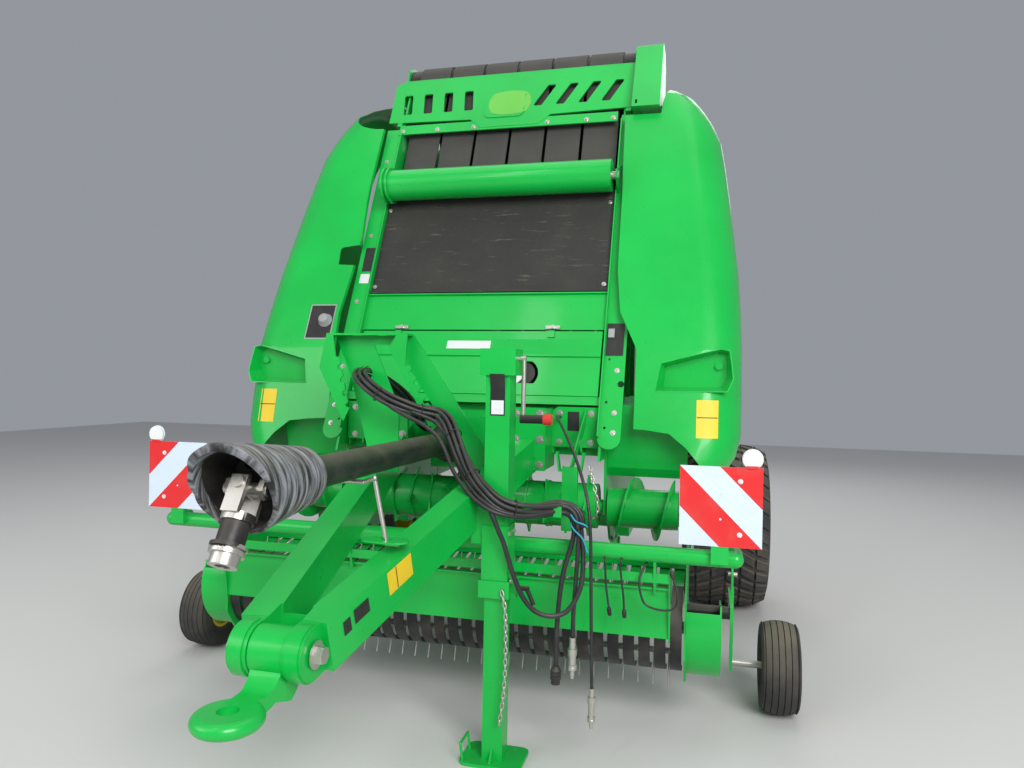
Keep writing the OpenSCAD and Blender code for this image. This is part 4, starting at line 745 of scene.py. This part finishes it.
paintFaces("sign_boards", ["sign_stripes", "decal_white", "green_paint"], signFinish)
paintFaces("pickup_frame", ["guard_plastic"], bandFinish)
paintFaces("drive_shaft", ["zinc"], shaftFinish)
paintFaces("jack_crank", ["dark_steel", "grip_red"], crankFinish)
paintFaces("front_cover", ["dark_steel"], discFinish)
paintFaces("gauge_arms", ["dark_steel", "zinc"], armFinish)
paintFaces("guide_roller", ["zinc"], rollerFinish)
paintFaces("rear_lamps", ["green_paint", "lamp_amber"], lampFinish)
paintFaces("pickup_reel", ["tine_steel"], lambda c, n: 0)
print("painted faces")

# Main tyres with slanted blocks, gauge tyres with ribs. A tyre's side is a row of points: what they are
# measured from, how far out, and their share of the width. A row of blocks is its start, end and length; a
# block's foot and head are how deep they lie and how long they are for its length
MAIN = {
    "x": 1.18, "y": 1.22, "radius": 0.50, "width": 0.50, "bore": 0.235, "blocks": 34,
    "rows": ((0.008, 0.075, 0.052), (0.088, 0.160, 0.050), (0.172, 0.236, 0.056)), "slant": 1.25,
    "stagger": 0.5, "foot": (0.021, 1.06), "head": (0.0, 0.94), "segments": 120,
    "side": (("bore", 0.0, -0.36), ("bore", 0.02, -0.42), ("bore", 0.034, -0.445), ("bore", 0.040, -0.440),
             ("bore", 0.07, -0.475), ("bore", 0.12, -0.498), ("bore", 0.128, -0.492), ("bore", 0.17, -0.495),
             ("radius", -0.06, -0.475), ("radius", -0.047, -0.425), ("radius", -0.025, -0.30),
             ("radius", -0.017, -0.15)),
}
CROWN = {"flat": 0.2, "edge": 0.4, "drop": 0.015, "fall": 0.030, "fallWidth": 0.07}


def tyreCrown(v):
    # Radius over the distance from the tyre's middle: flat, rounded, then falling at the shoulder
    share = abs(v) / MAIN["width"]
    if share < CROWN["flat"]:
        return MAIN["radius"]
    if share < CROWN["edge"]:
        return MAIN["radius"] - CROWN["drop"] * (share - CROWN["flat"]) / (CROWN["edge"] - CROWN["flat"])
    return MAIN["radius"] - CROWN["drop"] - CROWN["fall"] * (share - CROWN["edge"]) / CROWN["fallWidth"]


def tyreForms(tyre, side, tread):
    # The tyre's sides and what lies between them, turned about its axle
    half = [(tyre[base] + out, share * tyre["width"]) for base, out, share in tyre["side"]]
    profile = half + tread + [(p, -x) for p, x in reversed(half)]
    forms = Forms()
    center = (side * tyre["x"], tyre["y"], tyre["radius"])
    forms.add(revolve(profile, center, ACROSS, tyre["segments"], close=True))
    return forms


def mainTyre(side):
    r = MAIN["radius"]
    center = Vector((side * MAIN["x"], MAIN["y"], r))
    forms = tyreForms(MAIN, side, [])
    boxFaces = [(0, 1, 3, 2), (4, 6, 7, 5), (0, 4, 5, 1), (2, 3, 7, 6), (1, 5, 7, 3)]
    for hand in (-1, 1):
        for i in range(MAIN["blocks"]):
            start = 2 * math.pi * (i + (MAIN["stagger"] if hand > 0 else 0)) / MAIN["blocks"]
            for v0, v1, long in MAIN["rows"]:
                verts = []
                for v in (v0, v1):
                    for arc in (-long / 2 / r, long / 2 / r):
                        for sunk, spread in (MAIN["foot"], MAIN["head"]):
                            a = start + v * MAIN["slant"] + arc * spread
                            rad = tyreCrown(v) - sunk
                            verts.append(center + Vector((hand * v, rad * math.cos(a), rad * math.sin(a))))
                forms.add((verts, boxFaces))
    return forms


def gaugeTyre(side):
    r, w = GAUGE["radius"], GAUGE["width"]
    reach, bevel = GAUGE["ribShare"], GAUGE["bevel"]
    edges = np.linspace(-reach, reach, GAUGE["ribs"] + 1) * w
    ribs = []
    for left, right in zip(edges[:-1] + bevel, edges[1:] - bevel):
        crown = [r - GAUGE["crown"] * (abs(x) / (reach * w)) ** 2 for x in (left, right)]
        ribs += [(crown[0] - GAUGE["groove"], left - bevel), (crown[0], left), (crown[1], right),
                 (crown[1] - GAUGE["groove"], right + bevel)]
    return tyreForms(GAUGE, side, ribs)


# Nuts of each kind of wheel: circle they stand on, count and size
WHEEL_NUTS = {"": (MAIN, 0.11, 8, 0.013), "gauge_": (GAUGE, 0.04, 4, 0.008)}
NUT = {"out": 0.006, "sides": 6, "top": 0.95}
WASHER = {"sunk": 0.001, "wide": 1.5, "high": 0.003, "sides": 16}
for label, side in (("left", -1), ("right", 1)):
    treads = {"": mainTyre(side), "gauge_": gaugeTyre(side)}
    for kind, forms in treads.items():
        body = kind + "wheel_" + label
        tyre = forms.place(kind + "tread_" + label, "tyre_rubber", body)
        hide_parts(kind + "tyre_" + label)
        wheel, circle, count, size = WHEEL_NUTS[kind]
        center = Vector((side * (wheel["x"] + NUT["out"]), wheel["y"], wheel["radius"]))
        nuts = Forms()
        for i in range(count):
            a = 2 * math.pi * i / count
            place = center + Vector((0, math.cos(a), math.sin(a))) * circle
            nuts.add(prism(place, (side, 0, 0), size, size, NUT["sides"], NUT["top"]))
        nuts.place(kind + "nuts_" + label, "zinc", body)
print("tyres")

# Small pieces are set on a CAD face by a straight line through it
trees = {}


def seat(node, origin, toward):
    if node not in trees:
        mesh = nodes[node].data
        faces = [tuple(p.vertices) for p in mesh.polygons]
        trees[node] = BVHTree.FromPolygons([v.co.copy() for v in mesh.vertices], faces)
    toward = Vector(toward).normalized()
    hit, normal, _, _ = trees[node].ray_cast(Vector(origin), toward)
    if hit is None:
        return None, None
    return hit, -normal if normal.dot(toward) > 0 else normal


AHEAD = -3.0


def front(x, z, y=AHEAD):
    return (x, y, z), ALONG


def decal(name, node, body, start, across, up, size, material, lift, cells=3, bulge=0.0):
    # A thin sheet laid on the node; start is its middle, seen along the way from outside, and bulge rounds it
    origin, toward = start
    across, up = Vector(across).normalized(), Vector(up).normalized()
    verts = []
    for i in range(cells + 1):
        for k in range(cells + 1):
            a, b = 2 * i / cells - 1, 2 * k / cells - 1
            wide, high = math.sqrt(1 - bulge * b * b), math.sqrt(1 - bulge * a * a)
            shift = across * a * wide * size[0] / 2 + up * b * high * size[1] / 2
            hit, normal = seat(node, Vector(origin) + shift, toward)
            if hit is None:
                print("decal misses", name)
                return
            verts.append(hit + normal * lift)
    sheet = meshObject(name, verts, gridFaces(cells + 1, cells + 1), MATS[material], True)
    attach(sheet, body)


def boltSet(name, node, body, places, radius, material="zinc"):
    forms = Forms()
    for origin, toward in places:
        hit, normal = seat(node, origin, toward)
        if hit is None:
            print("bolt misses", name)
            continue
        base = hit - normal * WASHER["sunk"]
        forms.add(prism(base, normal, radius * WASHER["wide"], WASHER["high"], WASHER["sides"]))
        forms.add(prism(hit, normal, radius, radius, NUT["sides"], NUT["top"]))
    forms.place(name, material, body)


# Plain labels, and one white strip along the cover's crease that is a painted highlight: the photograph's
# words and signs are left off
LABELS = {
    "panel_left": ("shield_left", "shield_left", (-0.815, 1.655), (0.128, 0.165), "decal_black"),
    "panel_left_rim": ("shield_left", "shield_left", (-0.815, 1.655), (0.140, 0.177), "knob_grey"),
    "panel_right": ("front_frame", "chassis", (0.650, 1.574), (0.080, 0.150), "decal_black"),
    "mark_left": ("front_frame", "chassis", (-0.652, 1.990), (0.052, 0.130), "decal_black"),
    "mark_left_low": ("front_frame", "chassis", (-0.652, 1.885), (0.052, 0.050), "decal_white"),
    "warning_left": ("shield_left", "shield_left", (-1.035, 1.236), (0.090, 0.160), "decal_yellow"),
    "warning_right": ("shield_right", "shield_right", (1.060, 1.232), (0.090, 0.160), "decal_yellow"),
    # Painted highlight: a white strip where the front cover's crease catches the light
    "strip_cover": ("front_cover", "front_cover", (-0.038, 1.545), (0.215, 0.038), "decal_white"),
    "mark_beam": ("front_beam", "chassis", (0.487, 1.205), (0.052, 0.085), "decal_black"),
    "mark_jack": ("jack_tube", "chassis", (0.330, 1.330), (0.055, 0.150), "decal_black"),
    "mark_jack_low": ("jack_tube", "chassis", (0.330, 1.285), (0.046, 0.050), "decal_white"),
}
# How far the sheets stand off the metal: a rim lies under its label, a low mark and a line over it
LIFT = {"rim": 0.0006, "label": 0.0011, "low": 0.0016, "line": 0.0016, "badge": 0.0010}
for name, (node, body, middle, size, material) in LABELS.items():
    lift = LIFT.get(name.split("_")[-1], LIFT["label"])
    decal(name, node, body, front(*middle), ACROSS, UP, size, material, lift)
# A dark line divides the plain yellow fields
FIELD_LINE = {"up": 0.006, "size": (0.086, 0.004)}
for name in ("warning_left", "warning_right"):
    node, body, (x, z) = LABELS[name][:3]
    start = front(x, z + FIELD_LINE["up"])
    decal(name + "_line", node, body, start, ACROSS, UP, FIELD_LINE["size"], "decal_black", LIFT["line"])
# Outer face of the drawbar's right beam, from its front end
BEAM = {
    "start": Vector((0.1295, -1.967, 0.690)), "out": Vector((0.988, -0.154, 0.0)), "aside": 0.3,
    "along": Vector((0.149, 0.955, 0.256)), "up": Vector((-0.039, -0.253, 0.967)),
}
BEAM_LABELS = {
    "beam_yellow": ((0.335, 0.024), (0.135, 0.072), "decal_yellow"),
    "beam_yellow_line": ((0.315, 0.024), (0.004, 0.068), "decal_black"),
    "beam_black": ((0.130, 0.020), (0.072, 0.042), "decal_black"),
    "beam_black_small": ((0.060, 0.014), (0.034, 0.040), "decal_black"),
}
for name, ((along, up), size, material) in BEAM_LABELS.items():
    point = BEAM["start"] + BEAM["along"] * along + BEAM["up"] * up + BEAM["out"] * BEAM["aside"]
    start = (point, -BEAM["out"])
    lift = LIFT.get(name.split("_")[-1], LIFT["label"])
    decal(name, "drawbar", "chassis", start, BEAM["along"], BEAM["up"], size, material, lift)
BADGE = {"middle": (-0.010, 2.885), "size": (0.235, 0.150), "cells": 14, "bulge": 0.36}
decal("badge", "grille_plate", "chassis", front(*BADGE["middle"]), ACROSS, UP, BADGE["size"], "badge_green",
      LIFT["badge"], BADGE["cells"], BADGE["bulge"])
print("labels", len(LABELS))


SLOPE_AHEAD = 0.6


def onSlope(x, z):
    point = Vector((x, SLOPE["y"], SLOPE["z"])) + alongSlope * slopeHeight(z) + outOfSlope * SLOPE_AHEAD
    return tuple(point), tuple(-outOfSlope)


def mirrored(places):
    return [((side * x, y, z), (side * dx, dy, dz)) for (x, y, z), (dx, dy, dz) in places for side in (-1, 1)]


# Bolts and nuts: the places of their middles and their radius
STRIP_BOLTS = {"x": (-0.606, -0.404, -0.196, 0.211, 0.420, 0.560), "z": 2.742, "radius": 0.009}
PANEL_BOLTS = {"x": (-0.585, 0.578), "z": (2.262, 1.838), "radius": 0.0075}
COLUMN_BOLTS = {"x": 0.668, "z": (1.160, 1.245, 1.430, 1.760, 2.120, 2.560), "radius": 0.008}
FLANGE_BOLTS = {"x": (0.262, 0.368), "y": -0.75, "z": (1.022, 1.130, 1.240), "radius": 0.012}
BRACKET_BOLTS = {"x": (0.425, 0.565), "y": -0.60, "z": (1.112, 1.240), "radius": 0.010}
SIGN_BOLTS = {"x": (1.1765,), "y": -1.2, "z": (0.858, 1.045), "radius": 0.006}
HITCH_NUT = {"place": (0.5, -2.03, 0.68), "radius": 0.024}
JACK_BOLTS = {"x": 0.6, "y": (-1.13, -1.07), "z": (0.66, 0.83), "radius": 0.007}
FROM_RIGHT = (-1, 0, 0)


def fromFront(bolts):
    return mirrored([front(x, z, bolts["y"]) for x in bolts["x"] for z in bolts["z"]])


jackPlaces = [(JACK_BOLTS["x"], y, z) for y in JACK_BOLTS["y"] for z in JACK_BOLTS["z"]]
boltSet("strip_bolts", "grille_plate", "chassis",
        [onSlope(x, STRIP_BOLTS["z"]) for x in STRIP_BOLTS["x"]], STRIP_BOLTS["radius"])
boltSet("panel_bolts", "belt_guard", "chassis",
        [onSlope(x, z) for z in PANEL_BOLTS["z"] for x in PANEL_BOLTS["x"]], PANEL_BOLTS["radius"])
boltSet("column_bolts", "front_frame", "chassis",
        mirrored([onSlope(COLUMN_BOLTS["x"], z) for z in COLUMN_BOLTS["z"]]), COLUMN_BOLTS["radius"])
boltSet("flange_bolts", "drawbar", "chassis", fromFront(FLANGE_BOLTS), FLANGE_BOLTS["radius"])
boltSet("bracket_bolts", "front_beam", "chassis", fromFront(BRACKET_BOLTS), BRACKET_BOLTS["radius"])
boltSet("hitch_nuts", "drawbar", "chassis", mirrored([(HITCH_NUT["place"], FROM_RIGHT)]), HITCH_NUT["radius"])
boltSet("jack_bolts", "jack_tube", "chassis",
        [(place, FROM_RIGHT) for place in jackPlaces], JACK_BOLTS["radius"])
boltSet("sign_bolts", "sign_boards", "wind_guard", fromFront(SIGN_BOLTS), SIGN_BOLTS["radius"], "decal_white")
print("bolts")

# White counter disc behind the lid's opening, cut where the opening ends
COUNTER = {"x": 0.190, "below": 0.003, "radius": 0.052, "hole": 0.0715, "out": 0.0108, "points": 48}
counterAlong = discAlong - COUNTER["below"]
offset = COUNTER["x"] - DISC["x"]
rim = []
for a in np.linspace(0, 2 * np.pi, COUNTER["points"], endpoint=False):
    toHole = -offset * math.cos(a) + math.sqrt(COUNTER["hole"] ** 2 - (offset * math.sin(a)) ** 2)
    reach = min(COUNTER["radius"], toHole)
    rim.append((COUNTER["x"] + reach * math.cos(a), counterAlong + reach * math.sin(a)))
slopeOrigin = Vector((0, SLOPE["y"], SLOPE["z"]))
discVerts = [slopeOrigin + Vector((x, 0, 0)) + alongSlope * t + outOfSlope * COUNTER["out"] for x, t in rim]
counter = meshObject("counter_disc", discVerts, [tuple(range(len(discVerts)))], MATS["decal_white"])
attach(counter, "front_cover")

# Small hinges over the cover, knob and switch
SLOPE_AXES = (ACROSS, alongSlope, outOfSlope)
HINGES = {"x": (-0.394, 0.357), "z": 1.625, "half": (0.034, 0.008, 0.005), "out": 0.004}
HINGE_PIN = {"out": 0.006, "radius": 0.010, "high": 0.008, "sides": 20}
hinges = Forms()
for x in HINGES["x"]:
    hit, _ = seat("front_frame", *onSlope(x, HINGES["z"]))
    hinges.add(boxForm(hit + outOfSlope * HINGES["out"], SLOPE_AXES, HINGES["half"]))
    foot = hit + outOfSlope * HINGE_PIN["out"]
    hinges.add(prism(foot, outOfSlope, HINGE_PIN["radius"], HINGE_PIN["high"], HINGE_PIN["sides"]))
hinges.place("cover_hinges", "zinc", "chassis")

KNOB = {
    "x": -0.790, "z": 1.660, "segments": 28,
    "profile": [(0.0, 0.034), (0.020, 0.034), (0.026, 0.028), (0.030, 0.006), (0.036, 0.004), (0.036, 0.0)],
}
knob = Forms()
hit, normal = seat("shield_left", *front(KNOB["x"], KNOB["z"]))
knob.add(revolve(KNOB["profile"], hit, normal, KNOB["segments"]))
knob.place("knob", "knob_grey", "shield_left", True)
SWITCH = {"x": 0.632, "z": 1.600, "half": (0.014, 0.022, 0.006), "out": 0.005}
hit, _ = seat("front_frame", *front(SWITCH["x"], SWITCH["z"]))
switch = Forms()
switch.add(boxForm(hit + outOfSlope * SWITCH["out"], SLOPE_AXES, SWITCH["half"]))
switch.place("switch", "knob_grey", "chassis")
print("controls")


CHAIN = {
    "step": 0.004, "pitch": 0.020, "width": 0.011, "long": 0.68, "wire": 0.0028, "points": 12, "sides": 5,
}


def chain(forms, path):
    # Oval links, each turned a quarter against the last
    dense = smoothPath(path, CHAIN["step"])
    steps = np.concatenate([[0], np.cumsum(np.linalg.norm(np.diff(dense, axis=0), axis=1))])
    sideOne, sideTwo = frames(dense)
    for i, distance in enumerate(np.arange(CHAIN["pitch"] / 2, steps[-1], CHAIN["pitch"])):
        k = int(np.searchsorted(steps, distance))
        tangent = dense[min(k + 1, len(dense) - 1)] - dense[max(k - 1, 0)]
        tangent /= np.linalg.norm(tangent)
        flat = sideOne[k] if i % 2 == 0 else sideTwo[k]
        long, wide = tangent * CHAIN["pitch"] * CHAIN["long"], flat * CHAIN["width"] / 2
        link = closedLoop(dense[k], long, wide, CHAIN["points"])
        forms.add(tube(link, CHAIN["wire"], CHAIN["sides"]))


CHAINS = {
    "jack": [(0.363, -1.166, 0.634), (0.380, -1.172, 0.560), (0.384, -1.172, 0.42), (0.380, -1.172, 0.28),
             (0.366, -1.172, 0.16)],
    "fork": [(0.625, -0.862, 1.060), (0.640, -0.880, 1.010), (0.655, -0.890, 0.955), (0.662, -0.890, 0.905),
             (0.655, -0.880, 0.870), (0.636, -0.862, 0.855)],
}
chains = Forms()
for route in CHAINS.values():
    chain(chains, route)
chains.place("chains", "zinc", "chassis", True)

# Ties round the bundle, and the cord round the hanging hoses at the rack
TIES = {
    "at": (0.16, 0.30, 0.43, 0.52, 0.63, 0.74, 0.85), "radius": 0.0285, "wire": 0.0022, "points": 24,
    "sides": 6,
}
ties = Forms()
for share in TIES["at"]:
    k = int(share * (len(line) - 1))
    loop = closedLoop(line[k], TIES["radius"] * sideA[k], TIES["radius"] * sideB[k], TIES["points"])
    ties.add(tube(loop, TIES["wire"], TIES["sides"]))
ties.place("ties", "decal_black", "chassis", True)
CORD_TIE = {"step": 0.006, "radius": 0.003, "sides": 8}
CORD_TIE_PATH = [
    (0.590, -1.072, 0.905), (0.610, -1.078, 0.882), (0.640, -1.078, 0.872), (0.652, -1.068, 0.862),
    (0.640, -1.030, 0.858), (0.612, -1.018, 0.862), (0.594, -1.028, 0.872), (0.590, -1.060, 0.866),
    (0.606, -1.080, 0.850), (0.638, -1.082, 0.820), (0.656, -1.080, 0.770),
]
cordTie = Forms()
cordTie.add(tube(smoothPath(CORD_TIE_PATH, CORD_TIE["step"]), CORD_TIE["radius"], CORD_TIE["sides"]))
cordTie.place("cord_tie", "tie_cyan", "chassis", True)

# Thin cables that hang from the crop guard's right end, each with a small socket
CABLES = {
    "cable_loop": [(0.862, -0.930, 0.740), (0.832, -0.972, 0.664), (0.842, -0.980, 0.600),
                   (0.865, -0.980, 0.572), (0.922, -0.980, 0.562), (0.960, -0.975, 0.575),
                   (0.968, -0.970, 0.620), (0.952, -0.960, 0.674)],
    "cable_inner": [(0.700, -0.952, 0.745), (0.706, -0.985, 0.735), (0.709, -0.992, 0.700),
                    (0.712, -0.990, 0.640), (0.718, -0.985, 0.590), (0.723, -0.982, 0.555)],
    "cable_outer": [(0.764, -0.952, 0.742), (0.766, -0.985, 0.736), (0.764, -0.992, 0.705),
                    (0.770, -0.990, 0.650), (0.776, -0.985, 0.600), (0.779, -0.982, 0.552)],
}
CABLE = {"step": 0.006, "radius": 0.004, "sides": 8, "socketSides": 16}
SOCKET = [(0, 0), (0.006, 0), (0.008, 0.004), (0.008, 0.024), (0.006, 0.030), (0, 0.030)]
cables, sockets = Forms(), Forms()
for route in CABLES.values():
    cables.add(tube(smoothPath(route, CABLE["step"]), CABLE["radius"], CABLE["sides"]))
    end, before = Vector(route[-1]), Vector(route[-2])
    sockets.add(revolve(SOCKET, end, end - before, CABLE["socketSides"]))
cables.place("guard_cables", "hose_rubber", "wind_guard", True)
sockets.place("guard_sockets", "dark_steel", "wind_guard", True)
print("chains and ties")

# Floor
FLOOR = {"half": 14.0, "z": -0.001, "roughness": 0.9}
floorMat, _, floorShader = nodeTree("floor_mat")
floorShader.inputs["Base Color"].default_value = COLORS["floor"] + (1.0,)
floorShader.inputs["Roughness"].default_value = FLOOR["roughness"]
half, z = FLOOR["half"], FLOOR["z"]
corners = [(-half, -half, z), (half, -half, z), (half, half, z), (-half, half, z)]
floor = meshObject("floor", corners, [(0, 1, 2, 3)], floorMat)
